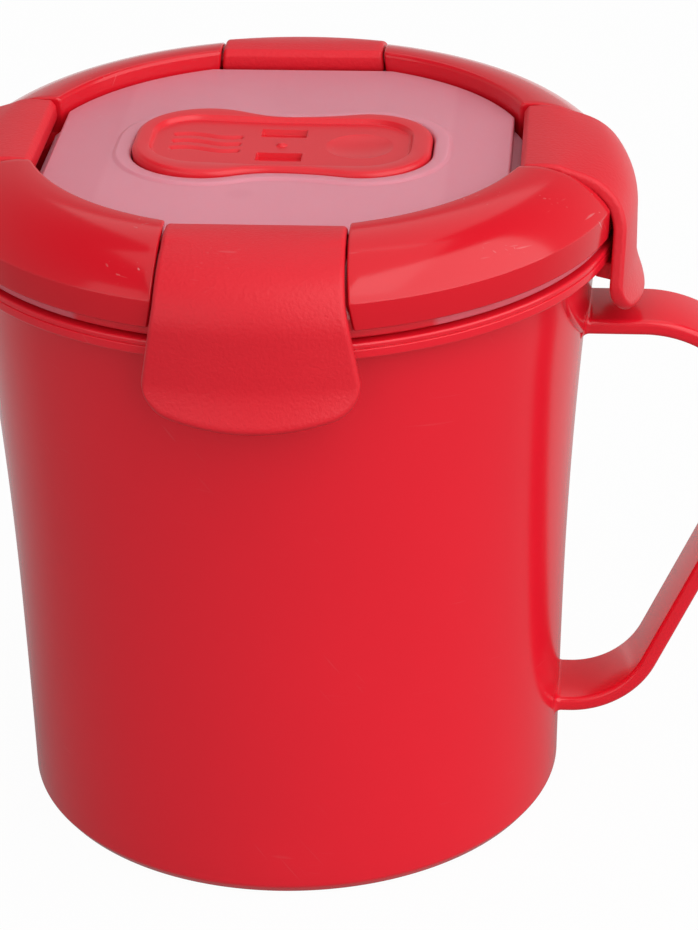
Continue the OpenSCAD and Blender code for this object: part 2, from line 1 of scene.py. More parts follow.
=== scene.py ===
"""Looks of a soup mug with a clip-down lid, laid out as an add-on and run as a script.

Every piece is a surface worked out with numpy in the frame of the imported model: metres, +Z up,
origin at the centre of the foot, handle towards +X. Sizes are written in millimetres.
"""

import json
import math

import bmesh
import bpy
import numpy as np
from mathutils import Matrix, Vector


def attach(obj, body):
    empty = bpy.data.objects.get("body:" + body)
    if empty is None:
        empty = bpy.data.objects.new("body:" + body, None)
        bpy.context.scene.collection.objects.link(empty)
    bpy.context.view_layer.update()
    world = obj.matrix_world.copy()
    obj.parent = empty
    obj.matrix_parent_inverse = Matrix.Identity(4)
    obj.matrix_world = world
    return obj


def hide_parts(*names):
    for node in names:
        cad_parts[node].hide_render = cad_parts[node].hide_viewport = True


bl_info = {
    "name": "Soup mug with a clip-down lid",
    "version": (1, 0, 0),
    "blender": (4, 5, 0),
    "location": "View3D > Sidebar > Soup mug",
    "description": "Builds the pieces, finishes and studio of a moulded soup mug",
    "category": "Add Mesh",
}

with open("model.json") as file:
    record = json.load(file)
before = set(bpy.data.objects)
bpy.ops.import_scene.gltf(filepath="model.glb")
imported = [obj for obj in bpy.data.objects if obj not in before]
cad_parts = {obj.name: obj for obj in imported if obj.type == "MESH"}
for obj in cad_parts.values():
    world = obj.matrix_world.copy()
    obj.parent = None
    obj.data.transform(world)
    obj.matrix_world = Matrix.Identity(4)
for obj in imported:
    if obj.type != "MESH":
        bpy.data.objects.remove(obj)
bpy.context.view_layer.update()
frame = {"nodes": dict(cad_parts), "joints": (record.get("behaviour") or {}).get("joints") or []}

MM = 0.001
JOINTS = {joint["name"]: joint for joint in frame["joints"]}
HINGE_R, HINGE_Z = (1000 * JOINTS["right_clip_hinge"]["pos_m"][i] for i in (0, 2))
PIVOT_Z = 1000 * JOINTS["vent_rock"]["pos_m"][2]

# Cup, in millimetres: radii, heights, and how far the root pad stands out
CUP_H, RIM_LOW_Z, FOOT_Z = 101.1, 98.55, 1.5
BASE_R, MOUTH_R, RIM_R, BORE_R = 45.0, 48.4, 53.6, 46.4
FLARE, FLARE_LOW_Z, FLARE_H = 0.95, 35, 47
PAD_RISE = 0.4
# Lid: flange, plate, ring with its crown's circle, and the gap beside a clip
FLANGE_TOP_Z, PLATE_Z = 103.3, 112.0
RING_IN_R, RING_R = 40.0, 54.2
CROWN_R, CROWN_X, CROWN_Z = 15.0, 41.5, 99.8
SIDE_GAP = 0.3
# Bars that clips and vent turn on, and the clips' barrels round them
BAR_R, BARREL_R = 1.2, 2.7
# Steam plug of the vent, and the plate's collar under it
PLUG_X, PLUG_R = -14.0, 4.0


# ---------------------------------------------------------------- settings


def hex_colour(text):
    """An sRGB hex value as linear red, green, blue and a full alpha."""
    values = np.array([int(text[i : i + 2], 16) for i in (1, 3, 5)]) / 255
    linear = np.where(values <= 0.04045, values / 12.92, ((values + 0.055) / 1.055) ** 2.4)
    return (*linear.tolist(), 1.0)


def length(name, description, default_mm):
    """A length property that is shown in the scene's units."""
    return bpy.props.FloatProperty(
        name=name, description=description, default=default_mm * MM,
        min=0.0, precision=5, unit="LENGTH",
    )


def colour(name, description, default_hex):
    """A colour property from an sRGB hex value."""
    return bpy.props.FloatVectorProperty(
        name=name, description=description, subtype="COLOR", size=4,
        min=0.0, max=1.0, default=hex_colour(default_hex),
    )


class MugSizes(bpy.types.PropertyGroup):
    """Sizes of the mug's parts that a user may change."""

    handle_w: length("Handle width", "Width of the handle's strap", 14.0)
    handle_t: length("Handle thickness", "Thickness of the handle's strap", 2.6)
    handle_edge: length("Handle edge radius", "Corner radius of the strap's section", 0.9)
    ring_edge: length("Ring edge radius", "Radius of the ring's edges beside a clip", 0.4)
    clip_t: length("Clip thickness", "Thickness of a clip's wall", 2.0)
    clip_edge: length("Clip edge radius", "Radius along a clip's sides", 0.65)
    vent_edge: length("Vent edge radius", "Radius of the vent's upper edge", 1.0)


class MugColours(bpy.types.PropertyGroup):
    """Colours of the mug's plastics."""

    cup: colour("Cup", "Red of the moulded cup", "#E4192B")
    ring: colour("Ring", "Red of the polished ring", "#D21323")
    clip: colour("Clips", "Red of the textured clips", "#DA1B2A")
    vent: colour("Vent", "Red of the satin vent", "#DE1B29")
    # The plate's pink is partly painted light: the red of the cup inside, seen through the milky
    # plastic
    plate: colour("Plate", "Pink of the frosted plate", "#DD8A99")
    seal: colour("Seal", "Off-white of the silicone seal", "#E4DFDA")


class StudioSettings(bpy.types.PropertyGroup):
    """Lamps and backdrop of the product shot."""

    key_power: bpy.props.FloatProperty(
        name="Key lamp", description="Power of the large lamp on the right", default=46.0, min=0.0
    )
    fill_power: bpy.props.FloatProperty(
        name="Fill lamp", description="Power of the lamp on the left", default=4.6, min=0.0
    )
    back_power: bpy.props.FloatProperty(
        name="Back lamp", description="Power of the lamp behind", default=3.2, min=0.0
    )
    top_power: bpy.props.FloatProperty(
        name="Top lamp", description="Power of the lamp overhead", default=6.1, min=0.0
    )
    ambient: bpy.props.FloatProperty(
        name="Ambient", description="Strength of the light from all round", default=0.55, min=0.0
    )
    lens_mm: bpy.props.FloatProperty(
        name="Lens", description="Focal length of the camera", default=126.22, min=1.0
    )


# ---------------------------------------------------------------- mesh helpers


def arc(centre, radius, start, stop, steps):
    """Points of a circle about centre from one angle to another, both in degrees."""
    angle = np.radians(np.linspace(start, stop, steps + 1))
    return np.column_stack([centre[0] + radius * np.cos(angle), centre[1] + radius * np.sin(angle)])


def rounded(points, radii, steps=5):
    """An open path with each inner corner cut by an arc tangent to both of its sides."""
    points = np.asarray(points, float)
    path = [points[:1]]
    for before, corner, after, radius in zip(points, points[1:], points[2:], radii):
        one, two = before - corner, after - corner
        one_l, two_l = np.linalg.norm(one), np.linalg.norm(two)
        one, two = one / one_l, two / two_l
        half = math.acos(np.clip(one @ two, -1, 1)) / 2
        reach = min(radius / math.tan(half), 0.49 * one_l, 0.49 * two_l)
        if reach < 1e-6:
            path.append(corner[None])
            continue
        share = np.linspace(0, 1, steps + 1)[:, None]
        radius = reach * math.tan(half)
        middle = (one + two) / np.linalg.norm(one + two)
        centre = corner + middle * radius / math.sin(half)
        first, last = corner + one * reach - centre, corner + two * reach - centre
        swing = math.acos(np.clip(first @ last / radius**2, -1, 1))
        arms = np.sin((1 - share) * swing) * first + np.sin(share * swing) * last
        path.append(centre + arms / math.sin(swing))
    path.append(points[-1:])
    return np.vstack(path)


def inset(loop, distance):
    """A closed loop moved to its inner side along the mean normal of each corner."""
    ahead, back = np.roll(loop, -1, 0) - loop, loop - np.roll(loop, 1, 0)
    area = np.sum(loop[:, 0] * ahead[:, 1] - loop[:, 1] * ahead[:, 0])
    normals = []
    for side in (back, ahead):
        side = side / np.maximum(np.linalg.norm(side, axis=1, keepdims=True), 1e-9)
        normals.append(np.column_stack([-side[:, 1], side[:, 0]]))
    mean = normals[0] + normals[1]
    mean = mean / np.maximum(np.sum(mean * normals[0], 1, keepdims=True), 0.4)
    return loop + mean * distance * np.sign(area)


def net(rows, cols, close_rows=False, close_cols=False, offset=0):
    """Quads that join a grid of rows by cols points, wrapped round where a side closes."""
    i = np.arange(rows if close_rows else rows - 1)[:, None]
    j = np.arange(cols if close_cols else cols - 1)[None, :]
    near, far = i * cols, ((i + 1) % rows) * cols
    nxt = (j + 1) % cols
    quads = np.stack([near + j, near + nxt, far + nxt, far + j], -1).reshape(-1, 4)
    return (quads + offset).tolist()


def lofted(sections):
    """Sections with equal counts of points, joined one to the next, with a face over each end."""
    count = len(sections[0])
    faces = net(len(sections), count, close_cols=True)
    last = (len(sections) - 1) * count
    return np.vstack(sections), faces + [list(range(count)), list(range(last, last + count))]


def turned(profile, steps=240):
    """A profile of radius and height turned once about Z: x = r cos a, y = r sin a."""
    angle = np.linspace(0, 2 * np.pi, steps, endpoint=False)
    r, z = profile[:, :1], profile[:, 1:]
    points = np.stack([r * np.cos(angle), r * np.sin(angle), z + 0 * angle], -1)
    return points.reshape(-1, 3), net(len(profile), steps, close_cols=True)


def piece(name, body, material, parts, replaces=(), sharp=38.0, merge=0.0005):
    """One object from (points in mm, faces) parts: merged, with its faces outwards and smooth."""
    points, faces, start = [], [], 0
    for part_points, part_faces in parts:
        points.append(np.asarray(part_points, float) * MM)
        faces += [[i + start for i in face] for face in part_faces]
        start += len(part_points)
    mesh = bpy.data.meshes.new(name)
    mesh.from_pydata(np.vstack(points), [], faces)
    work = bmesh.new()
    work.from_mesh(mesh)
    bmesh.ops.remove_doubles(work, verts=work.verts, dist=merge * MM)
    bmesh.ops.dissolve_degenerate(work, edges=work.edges, dist=merge * MM)
    bmesh.ops.recalc_face_normals(work, faces=work.faces)
    work.to_mesh(mesh)
    work.free()
    mesh.shade_smooth()
    mesh.set_sharp_from_angle(angle=math.radians(sharp))
    mesh.materials.append(material)
    made = bpy.data.objects.new(name, mesh)
    bpy.context.scene.collection.objects.link(made)
    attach(made, body)
    if replaces:
        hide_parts(*replaces)
    return made


def quarter_turns(points, turns):
    """Points turned about Z by a number of quarter turns."""
    angle = math.pi / 2 * turns
    spin = np.array([
        [math.cos(angle), -math.sin(angle), 0], [math.sin(angle), math.cos(angle), 0], [0, 0, 1]
    ])
    return points @ spin.T


# ---------------------------------------------------------------- finishes


def add(tree, kind, inputs=None, **settings):
    """One node with its settings, and its inputs set to values or linked to outputs."""
    made = tree.nodes.new(kind)
    for name, value in settings.items():
        setattr(made, name, value)
    for name, value in (inputs or {}).items():
        if isinstance(value, bpy.types.NodeSocket):
            tree.links.new(value, made.inputs[name])
        else:
            made.inputs[name].default_value = value
    return made


def per_metre(size_mm):
    """Scale of a noise whose cells measure size_mm."""
    return 1 / (size_mm * MM)


def plastic(
    name, base, *, rough, grain_mm, grain_depth_mm, mottle, wear, edge=None, shade_spot=None, **shader
):
    """A moulded plastic: colour that drifts a little, a grain in its bump and rubbed scratches.

    mottle is the share by which the colour drifts, and wear how strongly scratches show. edge is
    a colour that the outer rim takes on. shade_spot is the place in millimetres of a painted shadow
    where the seat of the vent's bar shows through the plate, on a plate that is also painted darker
    outside the walls of its well, as shade seen through it.
    """
    drift_mm, patch_mm, strand_mm = 28, 13, 0.5
    rim_from, rim_to = 46 * MM, 50 * MM
    well_from, well_to = 26.3 * MM, 27.3 * MM
    shade_spot_r, shade_spot_fade_r = 1.2 * MM, 2.6 * MM
    mean_r, strand_squash = 50 * MM, 0.055
    material = bpy.data.materials.new(name)
    material.use_nodes = True
    tree = material.node_tree
    tree.nodes.clear()
    place = add(tree, "ShaderNodeTexCoord").outputs["Object"]
    drift = add(tree, "ShaderNodeTexNoise", {
        "Vector": place, "Scale": per_metre(drift_mm), "Detail": 3.0, "Roughness": 0.55,
    })
    dark = tuple(c * (1 - mottle) for c in base[:3]) + (1.0,)
    light = tuple(min(c * (1 + mottle), 1) for c in base[:3]) + (1.0,)
    tint = add(tree, "ShaderNodeMix", {
        0: drift.outputs["Fac"], 6: dark, 7: light,
    }, data_type="RGBA")
    axes = add(tree, "ShaderNodeSeparateXYZ", {0: place})
    flat = add(tree, "ShaderNodeCombineXYZ", {0: axes.outputs["X"], 1: axes.outputs["Y"]})
    reach = add(tree, "ShaderNodeVectorMath", {0: flat.outputs["Vector"]}, operation="LENGTH")
    if edge:
        # The thin rim is seen with the red of the pieces round it shining through
        outer = add(tree, "ShaderNodeMapRange", {
            "Value": reach.outputs["Value"], "From Min": rim_from, "From Max": rim_to,
        })
        tint = add(tree, "ShaderNodeMix", {
            0: outer.outputs["Result"], 6: tint.outputs[2], 7: tuple(edge),
        }, data_type="RGBA")
    if shade_spot:
        # Painted shade: the milky plate is darker outside the walls of its well, which show through
        # it, and over a small round area where the seat of the vent's bar shows through
        across = add(tree, "ShaderNodeMath", {0: axes.outputs["X"]}, operation="ABSOLUTE")
        outside_well_shade = add(tree, "ShaderNodeMapRange", {
            "Value": across.outputs[0], "From Min": well_from, "From Max": well_to, "To Max": 0.5,
        })
        away = add(tree, "ShaderNodeVectorMath", {
            0: flat.outputs["Vector"], 1: (shade_spot[0] * MM, shade_spot[1] * MM, 0.0),
        }, operation="DISTANCE")
        seat_shade = add(tree, "ShaderNodeMapRange", {
            "Value": away.outputs["Value"], "From Min": shade_spot_r, "From Max": shade_spot_fade_r,
            "To Min": 0.35, "To Max": 0.0,
        })
        painted_shade = add(tree, "ShaderNodeMath", {
            0: outside_well_shade.outputs["Result"], 1: seat_shade.outputs["Result"],
        }, operation="MAXIMUM")
        painted_shade_colour = (base[0] * 0.93, base[1] * 0.82, base[2] * 0.84, 1.0)
        tint = add(tree, "ShaderNodeMix", {
            0: painted_shade.outputs[0], 6: tint.outputs[2], 7: painted_shade_colour,
        }, data_type="RGBA")
    # Rubbed scratches: strands on an unrolled surface (arc length, height, radius) at two slants,
    # kept to worn patches, and drawn wider than real ones so that they show
    patches = add(tree, "ShaderNodeTexNoise", {
        "Vector": place, "Scale": per_metre(patch_mm), "Detail": 2.0,
    })
    worn = add(tree, "ShaderNodeMapRange", {
        "Value": patches.outputs["Fac"], "From Min": 0.56, "From Max": 0.68,
    })
    turn = add(tree, "ShaderNodeMath", {
        0: axes.outputs["Y"], 1: axes.outputs["X"],
    }, operation="ARCTAN2")
    arc_l = add(tree, "ShaderNodeMath", {0: turn.outputs[0], 1: mean_r}, operation="MULTIPLY")
    unrolled = add(tree, "ShaderNodeCombineXYZ", {
        0: arc_l.outputs[0], 1: axes.outputs["Z"], 2: reach.outputs["Value"],
    })
    sets = []
    for slant in (0.12, 0.9):
        across = add(tree, "ShaderNodeMapping", {
            "Vector": unrolled.outputs["Vector"], "Rotation": (0.0, 0.0, slant),
        })
        along = add(tree, "ShaderNodeMapping", {
            "Vector": across.outputs["Vector"], "Scale": (strand_squash, 1.0, 1.0),
        })
        strands = add(tree, "ShaderNodeTexNoise", {
            "Vector": along.outputs["Vector"], "Scale": per_metre(strand_mm), "Detail": 0.0,
        })
        thin = add(tree, "ShaderNodeMapRange", {
            "Value": strands.outputs["Fac"], "From Min": 0.76, "From Max": 0.84,
        })
        sets.append(thin.outputs["Result"])
    both = add(tree, "ShaderNodeMath", {0: sets[0], 1: sets[1]}, operation="MAXIMUM")
    scratch = add(tree, "ShaderNodeMath", {
        0: both.outputs[0], 1: worn.outputs["Result"],
    }, operation="MULTIPLY")
    strength = add(tree, "ShaderNodeMath", {0: scratch.outputs[0], 1: wear}, operation="MULTIPLY")
    rubbed = tuple(0.7 * c + 0.3 * 0.7 for c in base[:3]) + (1.0,)
    tint = add(tree, "ShaderNodeMix", {
        0: strength.outputs[0], 6: tint.outputs[2], 7: rubbed,
    }, data_type="RGBA")
    sheen = add(tree, "ShaderNodeMapRange", {
        "Value": patches.outputs["Fac"], "To Min": rough * 0.88, "To Max": rough * 1.15,
    })
    grain = add(tree, "ShaderNodeTexNoise", {
        "Vector": place, "Scale": per_metre(grain_mm), "Detail": 2.0, "Roughness": 0.6,
    })
    relief = add(tree, "ShaderNodeMath", {
        0: grain.outputs["Fac"], 1: strength.outputs[0],
    }, operation="SUBTRACT")
    bump = add(tree, "ShaderNodeBump", {
        "Height": relief.outputs[0], "Strength": 1.0, "Distance": grain_depth_mm * MM,
    })
    surface = add(tree, "ShaderNodeBsdfPrincipled", {
        "Base Color": tint.outputs[2], "Roughness": sheen.outputs["Result"],
        "Normal": bump.outputs["Normal"], "IOR": 1.49, **shader,
    })
    add(tree, "ShaderNodeOutputMaterial", {"Surface": surface.outputs["BSDF"]})
    return material


FINISHES = {}


def finish_of(key):
    """The finish of one slot, made at its first use and then shared."""
    if key in FINISHES:
        return FINISHES[key]
    colours = bpy.context.scene.mug_colours
    if key == "cup_red":
        # Polypropylene from a semi-polished mould: a soft sheen over faint waves, no grain
        made = plastic(
            "Polypropylene, semi-polished mould", colours.cup, rough=0.17,
            grain_mm=1.3, grain_depth_mm=0.0008, mottle=0.03, wear=0.08,
        )
    elif key == "ring_red":
        # Polypropylene from a mirror-polished mould: sharp reflections that the slow waves of the
        # moulding bend a little, and fine scratches from handling
        made = plastic(
            "Polypropylene, mirror-polished mould", colours.ring, rough=0.14,
            grain_mm=3.2, grain_depth_mm=0.0015, mottle=0.02, wear=0.7,
            **{"Specular IOR Level": 0.42},
        )
    elif key == "clip_red":
        # Polypropylene from a spark-eroded mould: a fine matte grain, drawn at 0.55 mm to show
        made = plastic(
            "Polypropylene, spark-eroded mould", colours.clip, rough=0.4,
            grain_mm=0.55, grain_depth_mm=0.08, mottle=0.04, wear=0.15,
            **{"Specular IOR Level": 0.35},
        )
    elif key == "vent_red":
        # Polypropylene from a satin mould: broad soft highlights along its rim. The grain is too
        # fine to show and is drawn at 0.6 mm
        made = plastic(
            "Polypropylene, satin mould", colours.vent, rough=0.3,
            grain_mm=0.6, grain_depth_mm=0.004, mottle=0.04, wear=0.25,
        )
    elif key == "frosted_plate":
        # Natural polypropylene from a blasted mould: milky, light scatters inside it. Its colour is
        # its own
        # milky tone with painted light in it: the red of the cup inside, seen through it, as pink.
        # The grain is too fine to show and is drawn at 0.5 mm
        made = plastic(
            "Frosted natural polypropylene, blasted mould", colours.plate, rough=0.4,
            grain_mm=0.5, grain_depth_mm=0.004, mottle=0.025, wear=0.2,
            # Painted shade where the walls of the well and the seat of the vent's bar show through
            # the plate
            edge=colours.cup, shade_spot=(-4.7, -20.3),
            **{"Subsurface Weight": 0.5, "Subsurface Radius": (0.9, 0.5, 0.5),
               "Subsurface Scale": 0.004},
        )
    else:
        # Silicone from a matte mould: soft and slightly waxy, its fine grain drawn at 0.5 mm
        made = plastic(
            "Silicone, matte mould", colours.seal, rough=0.55,
            grain_mm=0.5, grain_depth_mm=0.004, mottle=0.02, wear=0.0,
        )
    FINISHES[key] = made
    return made


# ---------------------------------------------------------------- cup and handle


def wall_r(z):
    """Radius of the cup's wall without its flare: it opens with the square of the height."""
    share = np.clip((np.asarray(z, float) - FOOT_Z) / (RIM_LOW_Z - FOOT_Z), 0, 1)
    return BASE_R + (MOUTH_R - BASE_R) * (0.45 * share + 0.55 * share**2)


def outer_r(z):
    """Outside of the wall with its flare, which grows with the square of the height."""
    return wall_r(z) + FLARE * np.clip((np.asarray(z, float) - FLARE_LOW_Z) / FLARE_H, 0, 2) ** 2


def cup_profile():
    """Closed profile of the cup: foot ring, wall, beaded rim flange, inside and floor."""
    wall, floor_z, foot_rise = 2.0, 2.4, 0.8
    wall_low_z, wall_high_z, inside_low_z = 6, 92, 14
    under_z, lip_r = 99.3, 51.8
    z_up = np.linspace(wall_low_z, wall_high_z, 24)
    z_down = np.linspace(wall_high_z, inside_low_z, 22)
    out = rounded(
        [(0, foot_rise), (40.7, foot_rise), (41.1, 0), (43.7, 0), (BASE_R, 1.7),
         (wall_r(wall_low_z), wall_low_z)],
        (0.3, 0.3, 0.8, 1.4),
    )
    rim = rounded(
        [
            (outer_r(wall_high_z), wall_high_z), (outer_r(under_z), under_z),
            (lip_r, under_z), (lip_r, RIM_LOW_Z), (RIM_R, RIM_LOW_Z),
            (RIM_R, 99.98), (RIM_R - 0.3, 100.14), (RIM_R, 100.3), (RIM_R, CUP_H), (BORE_R, CUP_H),
            (wall_r(wall_high_z) - wall, wall_high_z),
        ],
        (0.6, 0.2, 0.2, 0.35, 0.14, 0.05, 0.14, 0.42, 0.4),
    )
    down = rounded(
        [(wall_r(inside_low_z) - wall, inside_low_z), (wall_r(floor_z) - wall, floor_z),
         (0, floor_z)],
        (6.0,), 10,
    )
    return np.vstack([
        out, np.column_stack([outer_r(z_up), z_up])[1:-1], rim,
        np.column_stack([wall_r(z_down) - wall, z_down])[1:-1], down,
    ])


def strap_loop(width, thickness, radius, grow):
    """Rounded oblong of the strap's section, grown sideways: thickness along x, width along y."""
    x, y = thickness / 2 - radius, width / 2 - radius
    r = radius + grow
    return np.vstack([
        arc((x, y), r, 0, 90, 5), arc((-x, y), r, 90, 180, 5),
        arc((-x, -y), r, 180, 270, 5), arc((x, -y), r, 270, 360, 5),
    ])


def pad_r(z, inside=False):
    """Radius that the handle grows from: the wall's, blended to the pad's face above the arm's
    lower side. Inside, it is the wall's alone."""
    low_z, blend_h = 82.4, 2.4
    share = np.clip((np.asarray(z, float) - low_z) / blend_h, 0, 0 if inside else 1)
    return outer_r(z) + PAD_RISE * share * share * (3 - 2 * share)


def handle_surface(sizes):
    """The strap carried along its ear: straight, bend, slope, heel and straight.

    Near the cup the section swells by r (1 - cos) as it runs in by r (1 - sin), which is a fillet.
    These rows follow the pad of the root and the cup's round wall: x = sqrt(r r - y y) + run.
    """
    width, thick, radius = (v / MM for v in (sizes.handle_w, sizes.handle_t, sizes.handle_edge))
    ear, ear_r, heel, heel_r = (58.1, 64.9), 20.9 - thick / 2, (47.0, 29.2), 13.3 + thick / 2
    gap = math.hypot(ear[0] - heel[0], ear[1] - heel[1])
    slope = math.degrees(
        math.atan2(ear[1] - heel[1], ear[0] - heel[0]) - math.asin((ear_r - heel_r) / gap)
    )
    fillet, sunk = 1.0, 0.8
    turn = np.radians(np.linspace(90, 0, 7))
    run, swell = fillet * (1 - np.sin(turn)), fillet * (1 - np.cos(turn))
    # Rows of run or x, height, angle, swell, and whether the row follows the wall
    arm_z = 84.5
    rows = [(-sunk, arm_z, 90.0, fillet, True)]
    rows += [(d, arm_z, 90.0, s, True) for d, s in zip(run, swell)]
    rows += [(x, z, a, 0.0, False) for (x, z), a in zip(
        arc(ear, ear_r, 90, slope - 90, 48), np.linspace(90, slope - 90, 49))]
    rows += [(x, z, a, 0.0, False) for (x, z), a in zip(
        arc(heel, heel_r, slope - 90, -90, 26), np.linspace(slope - 90, -90, 27))]
    low_z = heel[1] - heel_r
    rows += [(d, low_z, -90.0, s, True) for d, s in zip(run[::-1], swell[::-1])]
    rows += [(-sunk, low_z, -90.0, fillet, True)]
    points = []
    for x, z, angle, grow, at_wall in rows:
        loop = strap_loop(width, thick, radius, grow)
        a = math.radians(angle)
        px = x + loop[:, 0] * math.cos(a)
        pz = z + loop[:, 0] * math.sin(a)
        if at_wall:
            px = np.sqrt(pad_r(pz, x < 0) ** 2 - loop[:, 1] ** 2) + x
        points.append(np.column_stack([px, loop[:, 1], pz]))
    return lofted(points)


def root_surface():
    """The flared root under the rim: a pad round the cup, x = sqrt(r r - y y), that rises from the
    wall. Its outline is drawn in by e (1 - cos a) as it rises by e sin a, and drawn to a point on
    both faces."""
    (low_y, low_z), (top_y, top_z) = (7.0, 83.2), (23.0, 99.4)
    half = [(low_y, low_z), (8.9, 84.4), (14.7, 88.1), (18.8, 91.8), (21.4, 95.0), (top_y, top_z)]
    side = rounded(half, (2.0, 30.0, 30.0, 20.0), 6)
    across = np.linspace(-1, 1, 17)[1:-1, None]
    outline = np.vstack([
        side, np.hstack([-top_y * across, 0 * across + top_z]), side[::-1] * (-1, 1),
        np.hstack([low_y * across, 0 * across + low_z]),
    ])
    edge, sunk, middle = 0.7, 1.5, np.array([0.0, 92.5])
    fill = np.linspace(0, 1, 12)
    rows = [(-sunk, 0.0, s) for s in fill]
    rows += [(PAD_RISE - edge * (1 - math.sin(a)), edge * (1 - math.cos(a)), 1.0)
             for a in np.radians(np.linspace(0, 90, 8))]
    rows += [(PAD_RISE, edge, s) for s in fill[::-1][1:]]
    points = []
    for rise, d, s in rows:
        loop = middle + s * (inset(outline, d) - middle)
        r = outer_r(loop[:, 1]) + rise
        points.append(np.column_stack([np.sqrt(r * r - loop[:, 0] ** 2), loop]))
    return np.vstack(points), net(len(points), len(outline), close_cols=True)


class MUG_OT_cup(bpy.types.Operator):
    """Build the cup with its rim flange, and the handle with its flared root"""

    bl_idname = "mug.cup"
    bl_label = "Cup and handle"

    def execute(self, context):
        sizes, red = context.scene.mug_sizes, finish_of("cup_red")
        piece("cup_shell", "cup", red, [turned(cup_profile(), 288)], ["mug"])
        piece("handle_strap", "cup", red, [handle_surface(sizes)])
        piece("handle_root", "cup", red, [root_surface()])
        return {"FINISHED"}


# ---------------------------------------------------------------- ring


# A clip's outside is an arc over its barrel, a bend and a straight skirt, and the ring's notches
# follow it
CLIP_TOP_R, CLIP_BEND_R, SKIRT_R = 24.0, 10.0, 56.6
CLIP_TOP_X = HINGE_R + 0.405
CLIP_TOP_Z = HINGE_Z + BARREL_R - CLIP_TOP_R
BEND_X = SKIRT_R - CLIP_BEND_R
BEND_Z = CLIP_TOP_Z + math.sqrt((CLIP_TOP_R - CLIP_BEND_R) ** 2 - (BEND_X - CLIP_TOP_X) ** 2)
BEND_TURN = math.degrees(math.atan2(BEND_X - CLIP_TOP_X, BEND_Z - CLIP_TOP_Z))
CLIP_SIDE_Z = BEND_Z + 3.8
CLIP_HIGH_Z = 115.8
CLIP_HALF_TOP, CLIP_HALF_BEND, CLIP_HALF_LOW = 13.4, 14.1, 16.2
# Its lip ends in a wide sweep with a corner arc at each side
LIP_Z, LIP_SWEEP_R, LIP_CORNER_R = 88.75, 51.0, 5.2
LIP_CORNER_X = CLIP_HALF_LOW - LIP_CORNER_R
LIP_SWEEP_Z = LIP_Z + LIP_SWEEP_R
LIP_CORNER_Z = LIP_SWEEP_Z - math.sqrt((LIP_SWEEP_R - LIP_CORNER_R) ** 2 - LIP_CORNER_X**2)
LIP_TOUCH_X = LIP_CORNER_X * LIP_SWEEP_R / (LIP_SWEEP_R - LIP_CORNER_R)


def clip_half_width(z):
    """Half width of a clip at a height: it widens downwards in two straight tapers."""
    return np.interp(
        z, [LIP_CORNER_Z, CLIP_SIDE_Z, CLIP_HIGH_Z],
        [CLIP_HALF_LOW, CLIP_HALF_BEND, CLIP_HALF_TOP],
    )


def ring_loop():
    """Closed section of the ring: inner wall, rounded lip, crown, crease and skirt."""
    lip_a = 180 - math.degrees(math.acos((CROWN_X - RING_IN_R) / CROWN_R))
    edge_a = math.degrees(math.acos((RING_R - CROWN_X) / CROWN_R))
    crown = arc((CROWN_X, CROWN_Z), CROWN_R, lip_a - 4.2, edge_a + 1.8, 26)
    lip = rounded(
        [(RING_IN_R, 105), arc((CROWN_X, CROWN_Z), CROWN_R, lip_a, lip_a, 0)[0], crown[1]],
        (1.0,), 7,
    )
    edge = rounded(
        [crown[-2], arc((CROWN_X, CROWN_Z), CROWN_R, edge_a, edge_a, 0)[0],
         (RING_R, FLANGE_TOP_Z), (52.0, FLANGE_TOP_Z)], (0.8, 0.4), 5
    )
    return np.vstack([[(RING_IN_R, FLANGE_TOP_Z)], lip[:-1], crown[2:-2], edge])


def ring_arc(sizes):
    """A quarter of the ring between two notches: each point of the section is turned from one
    notch's slanted side, where sin a = y / r, to the next one's, with rounded ends."""
    loop, edge = ring_loop(), sizes.ring_edge / MM
    phase = np.radians(np.linspace(0, 90, 5))
    columns = [(edge * (1 - math.cos(a)), edge * (1 - math.sin(a))) for a in phase]
    points = []

    def column(along, shrink, far):
        section = inset(loop, shrink)
        side = clip_half_width(section[:, 1]) + SIDE_GAP + along
        angle = np.arcsin(side / section[:, 0])
        return section, (np.pi / 2 - angle if far else angle)

    first = [column(a, s, False) for a, s in columns]
    last = [column(a, s, True) for a, s in columns[::-1]]
    middle = [
        (loop, first[-1][1] + (last[0][1] - first[-1][1]) * share)
        for share in np.linspace(0, 1, 41)[1:-1]
    ]
    for section, angle in first + middle + last:
        r, z = section.T
        points.append(np.column_stack([r * np.cos(angle), r * np.sin(angle), z]))
    return lofted(points)


def notch_floor():
    """Floor of a notch: a section stepped down round the barrel, turned across the notch."""
    drop, room_r, overlap = 3.0, 3.7, 0.5
    top = arc((CLIP_TOP_X, CLIP_TOP_Z), CLIP_TOP_R - drop, 81, 90 - BEND_TURN, 8)
    bend = arc((BEND_X, BEND_Z), CLIP_BEND_R - drop, 90 - BEND_TURN, 0, 10)
    room = arc((HINGE_R, HINGE_Z), room_r, 257.5, 352, 12)
    loop = np.vstack([
        [(RING_IN_R, FLANGE_TOP_Z), (RING_IN_R, 108.45)], room[1:], top[1:], bend[1:],
        [(SKIRT_R - drop, FLANGE_TOP_Z)],
    ])
    points = []
    for share in np.linspace(-1, 1, 17):
        side = (clip_half_width(loop[:, 1]) + SIDE_GAP + overlap) * share
        angle = np.arcsin(side / loop[:, 0])
        points.append(np.column_stack([
            loop[:, 0] * np.cos(angle), loop[:, 0] * np.sin(angle), loop[:, 1]
        ]))
    return lofted(points)


def rod(centre, radius, half_l, steps=32):
    """A round bar along Y with closed ends: a circle in X and Z moved along Y."""
    circle = arc(centre, radius, 0, 360 - 360 / steps, steps - 1)
    return lofted([
        np.column_stack([circle[:, 0], np.full(steps, y), circle[:, 1]]) for y in (-half_l, half_l)
    ])


